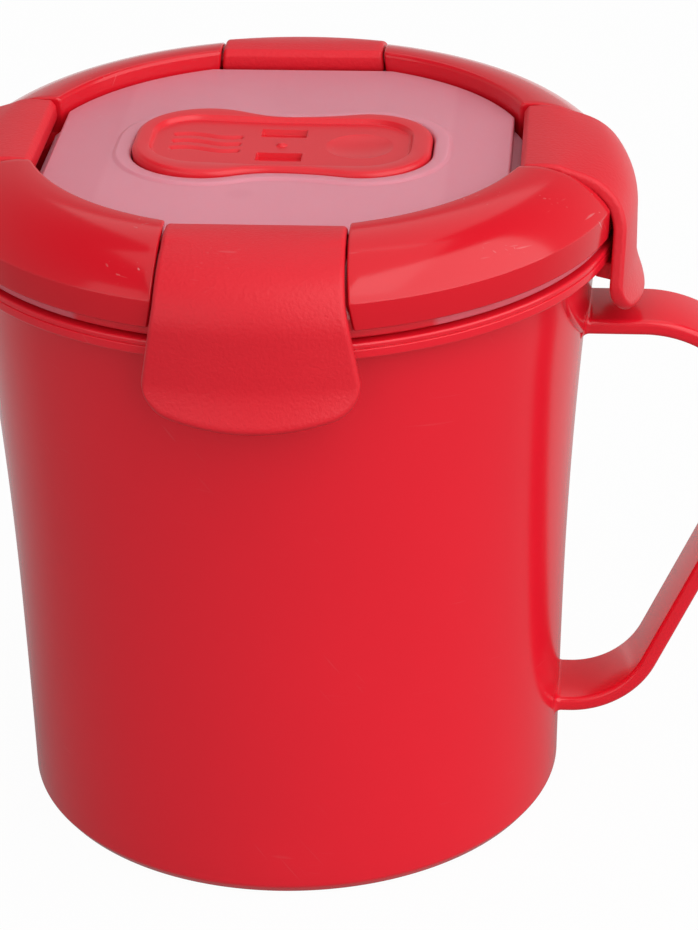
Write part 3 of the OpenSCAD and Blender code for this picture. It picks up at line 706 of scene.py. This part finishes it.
class MUG_OT_ring(bpy.types.Operator):
    """Build the polished ring with its notches and hinge bars"""

    bl_idname = "mug.ring"
    bl_label = "Lid ring"

    def execute(self, context):
        sizes, red = context.scene.mug_sizes, finish_of("ring_red")
        shapes = [ring_arc(sizes), notch_floor(), rod((HINGE_R, HINGE_Z), BAR_R, 15.4)]
        parts = [(quarter_turns(p, turn), f) for turn in range(4) for p, f in shapes]
        piece("ring_shell", "lid", red, parts, ["lid_ring"])
        return {"FINISHED"}


# ---------------------------------------------------------------- clips


def clip_loop(thick, low):
    """Closed section of a clip whose lip ends at the height low: barrel with its snap slot, nose,
    top, bend, skirt and finger lip.

    The skirt is a middle line with half the thickness on each side of it. It runs straight down
    and then flares by flare s^1.5, where s is the share of flare_h that it has dropped.
    """
    bore_r, slot_half = 1.25, 1.008
    straight_z, flare_z, flare_h, flare = 98.9, 95.55, 5.8, 1.4
    centre = (HINGE_R, HINGE_Z)
    outer_a = math.degrees(math.asin(slot_half / BARREL_R))
    bore_a = math.degrees(math.asin(slot_half / bore_r))
    bore = arc(centre, bore_r, 225 + bore_a, 585 - bore_a, 26)
    back = arc(centre, BARREL_R, 225 - outer_a, 182, 4)
    top = arc((CLIP_TOP_X, CLIP_TOP_Z), CLIP_TOP_R, 91, 90 - BEND_TURN, 14)
    bend = arc((BEND_X, BEND_Z), CLIP_BEND_R, 90 - BEND_TURN, 0, 16)
    nose = rounded(
        [back[-1], (HINGE_R - 2.6, 113.6), (HINGE_R - 1.9, 114.62), top[1]], (0.7, 0.7), 4
    )
    skirt = np.concatenate([
        np.linspace(BEND_Z, straight_z, 6)[1:],
        straight_z - np.linspace(0, 1, 15)[1:] * (straight_z - low - thick / 2),
    ])
    middle = SKIRT_R - thick / 2 + flare * (np.maximum(flare_z - skirt, 0) / flare_h) ** 1.5
    outer = np.column_stack([middle + thick / 2, skirt])
    inner = np.column_stack([middle - thick / 2, skirt])[::-1]
    lip = arc((middle[-1], skirt[-1]), thick / 2, 0, -180, 10)
    inner_bend = arc((BEND_X, BEND_Z), CLIP_BEND_R - thick, 0, 90 - BEND_TURN, 12)
    inner_top = arc((CLIP_TOP_X, CLIP_TOP_Z), CLIP_TOP_R - thick, 90 - BEND_TURN, 84.6, 8)
    under = arc(centre, BARREL_R, 12, -113.1 + 2, 12)
    return np.vstack([
        bore, back, nose[1:-1], top[1:], bend[1:], outer, lip[1:-1], inner, inner_bend,
        inner_top[1:], under,
    ])


def lip_low(y):
    """Lower edge of the finger lip: a wide sweep that turns up in a corner arc at each side."""
    y = np.abs(y)
    sweep = LIP_SWEEP_Z - np.sqrt(LIP_SWEEP_R**2 - np.minimum(y, LIP_TOUCH_X) ** 2)
    over = np.clip(y - LIP_CORNER_X, 0, LIP_CORNER_R)
    corner = LIP_CORNER_Z - np.sqrt(LIP_CORNER_R**2 - over**2)
    return np.where(y < LIP_TOUCH_X, sweep, corner)


def clip_place(section, reach, bare):
    """A section at a share of the half width, placed in space.

    y is the share of the half width at that height. The skirt is round about the mug's axis,
    x = sqrt(r r - y y), and the barrel is straight, x = r, with a smooth change between them.
    """
    r, z = section.T
    y = reach * clip_half_width(np.maximum(z, LIP_CORNER_Z)) + bare
    straight_r, blend = 43.0, 5.0
    turn = np.clip((r - straight_r) / blend, 0, 1)
    turn = turn * turn * (3 - 2 * turn)
    x = (1 - turn) * r + turn * np.sqrt(np.maximum(r * r - y * y, 0))
    return np.column_stack([x, y, z])


def clip_surface(sizes):
    """A clip at +X: its section carried from side to side, drawn in by e (1 - sin a) over the last
    e (1 - cos a) at each side."""
    edge, thick = sizes.clip_edge / MM, sizes.clip_t / MM
    phase = np.radians(np.linspace(0, 90, 7))
    ends = [(edge * (1 - math.cos(a)), edge * (1 - math.sin(a))) for a in phase]
    flat = np.linspace(-LIP_TOUCH_X, LIP_TOUCH_X, 27)[1:-1] / CLIP_HALF_LOW
    last = (1 - (edge + 0.12) / CLIP_HALF_TOP) * CLIP_HALF_LOW
    last_a = math.asin((last - LIP_CORNER_X) / LIP_CORNER_R)
    corner_a = np.linspace(math.radians(14), last_a, 9)
    corner = (LIP_CORNER_X + LIP_CORNER_R * np.sin(corner_a)) / CLIP_HALF_LOW
    columns = [(-1.0, along, shrink) for along, shrink in ends]
    columns += [(s, 0.0, 0.0) for s in np.concatenate([-corner[::-1], flat, corner])]
    columns += [(1.0, -along, shrink) for along, shrink in ends[::-1]]
    points = []
    for reach, bare, shrink in columns:
        low = float(lip_low(reach * CLIP_HALF_LOW + bare))
        points.append(clip_place(inset(clip_loop(thick, low), shrink), reach, bare))
    return lofted(points)


def hook_surface():
    """The hook on a clip's inner side, under the cup's rim: a ridge carried from side to side.
    Over the last of its share of the half width its height falls with a sine, down to a fifth."""
    root_r, tip_r, low_z, top_z = 55.4, 51.3, 95.8, 98.3
    half_share, fade_share, end_share = 0.86, 0.12, 0.2
    ridge = rounded([
        (root_r, low_z), (tip_r, low_z), (tip_r, top_z - 0.4), (tip_r + 0.6, top_z), (root_r, top_z)
    ], (0.3, 0.4, 0.3), 4)
    points = []
    for share in np.linspace(-half_share, half_share, 21):
        fade = np.clip((half_share - abs(share)) / fade_share, 0, 1)
        height = end_share + (1 - end_share) * math.sin(fade * math.pi / 2)
        section = ridge.copy()
        section[:, 0] = root_r - (root_r - section[:, 0]) * height
        points.append(clip_place(section, share, 0.0))
    return lofted(points)


class MUG_OT_clips(bpy.types.Operator):
    """Build the four clips on their hinge bars"""

    bl_idname = "mug.clips"
    bl_label = "Clips"

    def execute(self, context):
        red = finish_of("clip_red")
        shapes = [clip_surface(context.scene.mug_sizes), hook_surface()]
        for turn, side in enumerate(("right", "back", "left", "front")):
            parts = [(quarter_turns(p, turn), f) for p, f in shapes]
            piece(f"{side}_clip_shell", f"{side}_clip", red, parts, [f"clip_{side}"])
        return {"FINISHED"}


# ---------------------------------------------------------------- lid plate


RAYS = 720
RAY_A = np.linspace(0, 2 * np.pi, RAYS, endpoint=False)
PLATE_R, PLATE_FLAT, LEDGE_FLAT = 39.5, 36.5, 38.1


def plate_ring(shrink, flat=PLATE_FLAT):
    """Outline of the plate: a circle cut by four flats beside the clips."""
    straight = (flat - shrink) / np.maximum(np.abs(np.cos(RAY_A)), np.abs(np.sin(RAY_A)))
    return np.minimum(PLATE_R - shrink, straight)


def ledge_ring(shrink):
    """Outline of the ledge at the foot of the plate's flats, under the clips' noses."""
    return plate_ring(shrink, LEDGE_FLAT)


def along_rays(points):
    """A closed outline round the origin as its distance along each ray."""
    ahead = np.roll(points, -1, 0)
    share = np.linspace(0, 1, 24, endpoint=False)[:, None, None]
    points = ((1 - share) * points + share * ahead).transpose(1, 0, 2).reshape(-1, 2)
    angle, reach = np.arctan2(points[:, 1], points[:, 0]) % (2 * np.pi), np.hypot(*points.T)
    order = np.argsort(angle)
    return np.interp(RAY_A, angle[order], reach[order], period=2 * np.pi)


def bone_ring(grow):
    """Outline of the vent: two rounded lobes joined by a drawn-in waist of tangent arcs."""
    waist, halves = 11.7, []
    for side, half_l, half_w, lobe_r in ((1, 23.9, 13.4, 10.6), (-1, 23.5, 14.3, 11.8)):
        lobe_x, lobe_y = half_l - lobe_r, half_w - lobe_r
        rise = waist - lobe_y
        waist_r = (lobe_x**2 + rise**2 - lobe_r**2) / (2 * (lobe_r - rise))
        touch = math.degrees(math.atan2(lobe_x, waist + waist_r - lobe_y))
        draw = arc((0, waist + waist_r), waist_r - grow, -90, -90 + touch, 40)
        lobe = arc((lobe_x, lobe_y), lobe_r + grow, 90 + touch, 0, 40)
        quarter = np.vstack([draw, lobe[1:]])
        half = np.vstack([quarter, quarter[::-1] * (1, -1)])
        halves.append(half * (side, 1))
    return along_rays(np.vstack([halves[0][::-1], halves[1]]))


def oblong_ring(half_l, half_w, radius):
    """Outline of a rounded oblong as a distance along each ray from its centre."""
    x, y = half_l - radius, half_w - radius
    return along_rays(np.vstack([
        arc((x, y), radius, 0, 90, 40), arc((-x, y), radius, 90, 180, 40),
        arc((-x, -y), radius, 180, 270, 40), arc((x, -y), radius, 270, 360, 40),
    ]))


def stacked(rings, close=False, fill=()):
    """Rings of distances along the rays, each at a height, joined one to the next."""
    points = np.vstack([
        np.column_stack([r * np.cos(RAY_A), r * np.sin(RAY_A), np.broadcast_to(z, RAYS)])
        for r, z in rings
    ])
    faces = net(len(rings), RAYS, close_rows=close, close_cols=True)
    for row in fill:
        faces.append(list(range(row * RAYS, (row + 1) * RAYS)))
    return points, faces


def quarter_round(outline, shrink, z, radius, steps=4):
    """Rings that round an upper edge over: in by r (1 - cos a) and up by r sin a."""
    turn = np.radians(np.linspace(0, 90, steps + 1))
    return [
        (outline(shrink + radius * (1 - math.cos(a))), z - radius + radius * math.sin(a))
        for a in turn
    ]


def plate_surface():
    """The plate with its wall, its raised frame and the well for the vent, as one closed skin."""
    frame_rise, frame_w, edge = 0.4, 3.3, 0.7
    top_gap, gap = 0.25, 0.5
    low_z, ledge_z, under_z, floor_z, floor_low_z = 102.2, 109.6, 110.4, 105.0, 103.8
    wall, hole = 1.6, -8
    outside = [(ledge_ring(0), low_z)] + quarter_round(ledge_ring, 0, ledge_z, 0.3)
    outside += [(plate_ring(0), ledge_z + 0.02)] + quarter_round(plate_ring, 0, PLATE_Z, 0.5)
    lip = [
        (bone_ring(frame_w - 0.9 * t), PLATE_Z + frame_rise / 2 * (1 - math.cos(math.pi * t)))
        for t in np.linspace(0, 1, 8)
    ]
    inner = [
        (bone_ring(top_gap + edge * (1 - math.sin(a))),
         PLATE_Z + frame_rise - edge * (1 - math.cos(a)))
        for a in np.radians(np.linspace(0, 90, 5))
    ]
    well = [
        (bone_ring(top_gap), 110.6), (bone_ring(gap), 110.0), (bone_ring(gap), floor_z + 0.2),
        (bone_ring(0.1), floor_z), (bone_ring(hole), floor_z),
    ]
    under = [
        (bone_ring(hole), floor_low_z), (bone_ring(1.8), floor_low_z), (bone_ring(1.8), under_z),
        (plate_ring(wall), under_z), (plate_ring(wall), low_z),
    ]
    skin = stacked(outside + lip + inner + well + under, close=True)
    # The middle of the well's floor, a hair thicker, so that no two faces lie in one plane
    middle = stacked([(bone_ring(-7.8), 105.05), (bone_ring(-7.8), 103.75)], fill=(0, 1))
    return [skin, middle]


def lid_rim_loop():
    """Closed section of the lid's flange, seal groove and spigot."""
    return rounded([
        (36.0, 101.7), (36.0, FLANGE_TOP_Z), (53.0, FLANGE_TOP_Z), (53.0, 101.7), (50.2, 101.7),
        (50.2, 103.2), (47.2, 103.2), (47.2, 101.7), (45.7, 101.7), (45.7, 96.7), (44.2, 96.7),
        (44.2, 101.7), (36.0, 101.7),
    ], (0.0, 0.35, 0.35, 0.1, 0.1, 0.1, 0.1, 0.1, 0.4, 0.4, 0.3), 4)


def tube(centre, outer_r, inner_r, low, high, steps=48):
    """A short upright tube: a square section turned about its own axis."""
    loop = np.array([
        (inner_r, low), (outer_r, low), (outer_r, high), (inner_r, high), (inner_r, low)
    ])
    points, faces = turned(loop, steps)
    return points + (centre[0], centre[1], 0), faces


class MUG_OT_plate(bpy.types.Operator):
    """Build the frosted lid plate, and give the seal its finish"""

    bl_idname = "mug.plate"
    bl_label = "Lid plate and seal"

    def execute(self, context):
        pink = finish_of("frosted_plate")
        parts = plate_surface() + [
            turned(lid_rim_loop(), 240), tube((PLUG_X, 0.0), PLUG_R, 2.5, 103.8, 107.4),
            rod((0.0, PIVOT_Z), BAR_R, 12.8),
        ]
        piece("plate_shell", "lid", pink, parts, ["lid_plate"])
        seal = frame["nodes"]["lid_seal"]
        for slot in seal.material_slots:
            slot.material = finish_of("seal_silicone")
        return {"FINISHED"}


# ---------------------------------------------------------------- vent


VENT_LOW_Z, PANEL_Z, VENT_TOP_Z = 109.56, 112.25, 113.0
SLOT_Y = 5.2  # middle of each slot, and of the barrel that shows below it


def panel_height(x, y):
    """Height of the vent's panel: a flat with a shallow dish, three wavy grooves, two slots and
    a small round nub. A groove's depth falls off as a cosine with the distance from its sine."""
    dish_x, dish_r, dish_depth = 12.4, 5.3, 0.6
    wave_x, wave_half_l, wave_l, sway, groove_depth, fade = -12.0, 5.6, 11.0, 0.55, 0.5, 0.4
    slot_half_l, slot_half_w, slot_depth, slope = 3.5, 1.65, 0.9, 0.2
    nub_r, nub_h = 0.85, 0.45
    z = np.full_like(x, PANEL_Z)
    dish = np.hypot(x - dish_x, y) / dish_r
    z = z - dish_depth * np.clip(1 - dish**2, 0, 1) ** 0.8
    span = np.clip((wave_half_l - np.abs(x - wave_x)) / fade, 0, 1)
    for row in (-3.0, 0.0, 3.0):
        line = row - sway * np.sin(2 * np.pi * (x + 17.4) / wave_l + np.pi)
        near = np.clip(np.abs(y - line), 0, 1)
        z = z - groove_depth * span * (0.5 + 0.5 * np.cos(np.pi * near))
    for side in (-SLOT_Y, SLOT_Y):
        inside = np.minimum(slot_half_l - np.abs(x), slot_half_w - np.abs(y - side))
        z = z - slot_depth * np.clip((inside + slope / 2) / slope, 0, 1)
    nub = np.clip(np.hypot(x, y) / nub_r, 0, 1)
    return z + nub_h * np.sqrt(1 - nub**2)


def vent_surface(sizes):
    """The rocking vent: skirt, rounded rim, soft step down to the panel and the panel's relief.

    The step falls by (1 - cos) / 2. The whole top rises towards the plug's end, by end_rise in
    rise_l, with a smooth start at the pivot: 0.5 (sqrt(x x + 9) - x - 3).
    """
    skirt, step_w, end_rise, rise_l = 1.2, 0.8, 0.75, 22.7
    half_l, half_w, corner_r = 21.0, 10.6, 8.0
    outside = [(bone_ring(-skirt), VENT_LOW_Z), (bone_ring(0), VENT_LOW_Z)]
    outside += quarter_round(lambda s: bone_ring(-s), 0, VENT_TOP_Z, sizes.vent_edge / MM, 7)
    step = [
        (oblong_ring(half_l - s, half_w - s, corner_r - s),
         VENT_TOP_Z - (VENT_TOP_Z - PANEL_Z) * (0.5 - 0.5 * math.cos(math.pi * s / step_w)))
        for s in step_w * np.linspace(0, 1, 9)
    ]
    edge_r = oblong_ring(half_l - step_w, half_w - step_w, corner_r - step_w)
    field = []
    for share in np.linspace(1, 0, 92)[1:-1]:
        r = edge_r * share
        field.append((r, panel_height(r * np.cos(RAY_A), r * np.sin(RAY_A))))
    points, faces = stacked(outside + step + field)
    start = len(points)
    points = np.vstack([points, [(0, 0, panel_height(np.zeros(1), np.zeros(1))[0])]])
    x = points[:, 0]
    rise = 0.5 * (np.sqrt(x * x + 9) - x - 3)
    points[:, 2] += end_rise / rise_l * np.maximum(rise, 0) * (points[:, 2] > 110)
    last = start - RAYS
    faces += [[last + j, last + (j + 1) % RAYS, start] for j in range(RAYS)]
    under = stacked([(bone_ring(-skirt), VENT_LOW_Z), (bone_ring(-skirt), 110.6)], fill=(1,))
    return [(points, faces), under]


class MUG_OT_vent(bpy.types.Operator):
    """Build the rocking steam vent with its two barrels and its plug"""

    bl_idname = "mug.vent"
    bl_label = "Steam vent"

    def execute(self, context):
        red = finish_of("vent_red")
        parts = vent_surface(context.scene.mug_sizes)
        plug = turned(rounded(
            [(0, 110.7), (PLUG_R, 110.7), (PLUG_R, 107.5), (0, 107.5)], (0.0, 0.4), 4
        ), 48)
        parts.append((plug[0] + (PLUG_X, 0, 0), plug[1]))
        for side in (-SLOT_Y, SLOT_Y):
            points, faces = rod((0.0, PIVOT_Z), 1.9, 3.0, 40)
            parts.append((points + (0, side, 0), faces))
        piece("vent_shell", "vent", red, parts, ["vent_flap"])
        return {"FINISHED"}


# ---------------------------------------------------------------- studio


def lamp(name, place, aim, size, power):
    """A square soft lamp at a place in metres, turned to face its aim."""
    data = bpy.data.lights.new(name, "AREA")
    data.shape, data.size, data.energy = "SQUARE", size, power
    made = bpy.data.objects.new(name, data)
    made.location = place
    made.rotation_euler = (Vector(aim) - Vector(place)).to_track_quat("-Z", "Y").to_euler()
    bpy.context.scene.collection.objects.link(made)
    return made


def paper_material():
    """White paper sweep: white with the mug's shadow on it to the camera. In reflections it is
    dim in front of the mug and rises to white behind it, as lit paper does."""
    camera_level, glow_share = 1.03, 0.94
    material = bpy.data.materials.new("White paper sweep")
    material.use_nodes = True
    tree = material.node_tree
    tree.nodes.clear()
    path = add(tree, "ShaderNodeLightPath")
    shown = add(tree, "ShaderNodeMath", {
        0: path.outputs["Is Glossy Ray"], 1: path.outputs["Is Transmission Ray"],
    }, operation="MAXIMUM")
    place = add(tree, "ShaderNodeTexCoord")
    axes = add(tree, "ShaderNodeSeparateXYZ", {0: place.outputs["Object"]})
    behind = add(tree, "ShaderNodeMapRange", {
        "Value": axes.outputs["Y"], "From Min": 0.0, "From Max": 0.3, "To Min": 0.3, "To Max": 0.95,
    })
    lit = add(tree, "ShaderNodeMath", {
        0: shown.outputs[0], 1: behind.outputs["Result"],
    }, operation="MULTIPLY")
    seen = add(tree, "ShaderNodeMath", {
        0: path.outputs["Is Camera Ray"], 1: camera_level,
    }, operation="MULTIPLY")
    level = add(tree, "ShaderNodeMath", {
        0: lit.outputs[0], 1: seen.outputs[0],
    }, operation="MAXIMUM")
    matt = add(tree, "ShaderNodeBsdfDiffuse", {"Color": hex_colour("#A4A4A4")})
    glow = add(tree, "ShaderNodeEmission", {
        "Color": (1.0, 1.0, 1.0, 1.0), "Strength": level.outputs[0],
    })
    # The glow covers most of the paper, so that part of the shadow stays, and lights nothing
    part = add(tree, "ShaderNodeMath", {
        0: path.outputs["Is Diffuse Ray"], 1: -glow_share,
    }, operation="MULTIPLY")
    share = add(tree, "ShaderNodeMath", {0: part.outputs[0], 1: glow_share}, operation="ADD")
    mixed = add(tree, "ShaderNodeMixShader", {
        "Fac": share.outputs[0], 1: matt.outputs["BSDF"], 2: glow.outputs["Emission"],
    })
    add(tree, "ShaderNodeOutputMaterial", {"Surface": mixed.outputs["Shader"]})
    return material


def studio_world(ambient):
    """White room: full white to the camera, and light that fades from the horizon to overhead."""
    world = bpy.data.worlds.new("White studio")
    world.use_nodes = True
    tree = world.node_tree
    tree.nodes.clear()
    path = add(tree, "ShaderNodeLightPath")
    aim = add(tree, "ShaderNodeTexCoord")
    axes = add(tree, "ShaderNodeSeparateXYZ", {0: aim.outputs["Generated"]})
    level = add(tree, "ShaderNodeMapRange", {
        "Value": axes.outputs["Z"], "From Min": 0.1, "From Max": 0.8,
        "To Min": ambient, "To Max": 0.2 * ambient,
    })
    seen = add(tree, "ShaderNodeMix", {
        0: path.outputs["Is Camera Ray"], 2: level.outputs["Result"], 3: 1.0,
    })
    light = add(tree, "ShaderNodeBackground", {
        "Color": (1.0, 1.0, 1.0, 1.0), "Strength": seen.outputs[0],
    })
    add(tree, "ShaderNodeOutputWorld", {"Surface": light.outputs["Background"]})
    return world


class MUG_OT_stage(bpy.types.Operator):
    """Build the floor, lamps, world and camera of the product shot"""

    bl_idname = "mug.stage"
    bl_label = "Studio"

    def execute(self, context):
        scene, studio = context.scene, context.scene.mug_studio
        # Floor: a wide flat sheet just under the foot
        half = 3.0
        mesh = bpy.data.meshes.new("studio_floor")
        corners = [(-half, -half, 0), (half, -half, 0), (half, half, 0), (-half, half, 0)]
        mesh.from_pydata(corners, [], [(0, 1, 2, 3)])
        floor = bpy.data.objects.new("studio_floor", mesh)
        scene.collection.objects.link(floor)
        floor.location.z = -0.0001
        mesh.materials.append(paper_material())

        scene.world = studio_world(studio.ambient)

        aim = (0.0, 0.0, 0.06)
        for name, place, side, power in (
            ("Key softbox", (1.25, -0.75, 0.75), 2.8, studio.key_power),
            ("Fill softbox", (-0.8, -1.1, 0.5), 1.4, studio.fill_power),
            ("Back softbox", (0.0, 1.0, 1.5), 1.2, studio.back_power),
            ("Top softbox", (0.05, -0.3, 1.5), 1.6, studio.top_power),
        ):
            lamp(name, place, aim, side, power)

        # Camera: it looks from az, el and the distance, then is aimed, tilted and rolled a little
        az, el, distance = math.radians(5.907), math.radians(25.976), 0.541385
        yaw, tilt, roll = (math.tan(math.radians(a)) for a in (1.035, -0.451, -0.975))
        back = Vector((math.sin(az) * math.cos(el), -math.cos(az) * math.cos(el), math.sin(el)))
        right = (-back).cross(Vector((0, 0, 1))).normalized()
        up = right.cross(-back)
        ahead = (-back + yaw * right + tilt * up).normalized()
        right = ahead.cross(Vector((0, 0, 1))).normalized()
        up = right.cross(ahead)
        right, up = (right + roll * up).normalized(), (up - roll * right).normalized()
        turn = Matrix((right, up, -ahead)).transposed().to_4x4()
        data = bpy.data.cameras.new("Product camera")
        data.sensor_width, data.sensor_fit, data.lens = 36.0, "AUTO", studio.lens_mm
        data.clip_start, data.clip_end = 0.01, 20.0
        camera = bpy.data.objects.new("Product camera", data)
        camera.matrix_world = Matrix.Translation(Vector(aim) + back * distance) @ turn
        scene.collection.objects.link(camera)
        scene.camera = camera
        scene.view_settings.view_transform = "Standard"
        return {"FINISHED"}


class MUG_PT_panel(bpy.types.Panel):
    """Sidebar panel that lists the pieces, sizes and colours"""

    bl_idname = "MUG_PT_panel"
    bl_label = "Soup mug"
    bl_space_type = "VIEW_3D"
    bl_region_type = "UI"
    bl_category = "Soup mug"

    def draw(self, context):
        column = self.layout.column(align=True)
        for step in STEPS:
            column.operator(step.bl_idname)
        for group in (context.scene.mug_sizes, context.scene.mug_colours, context.scene.mug_studio):
            box = self.layout.box()
            for name in group.bl_rna.properties.keys():
                if name not in {"rna_type", "name"}:
                    box.prop(group, name)


GROUPS = (MugSizes, MugColours, StudioSettings)
STEPS = (MUG_OT_cup, MUG_OT_plate, MUG_OT_ring, MUG_OT_clips, MUG_OT_vent, MUG_OT_stage)


def register():
    """Register the classes and hang the settings on the scene."""
    for kind in (*GROUPS, *STEPS, MUG_PT_panel):
        bpy.utils.register_class(kind)
    bpy.types.Scene.mug_sizes = bpy.props.PointerProperty(type=MugSizes)
    bpy.types.Scene.mug_colours = bpy.props.PointerProperty(type=MugColours)
    bpy.types.Scene.mug_studio = bpy.props.PointerProperty(type=StudioSettings)


def unregister():
    """Take the settings and the classes away again."""
    for name in ("mug_studio", "mug_colours", "mug_sizes"):
        delattr(bpy.types.Scene, name)
    for kind in reversed((*GROUPS, *STEPS, MUG_PT_panel)):
        bpy.utils.unregister_class(kind)


def main():
    """Build every piece in order."""
    register()
    for step in STEPS:
        group, name = step.bl_idname.split(".")
        getattr(getattr(bpy.ops, group), name)()


if __name__ == "__main__":
    main()
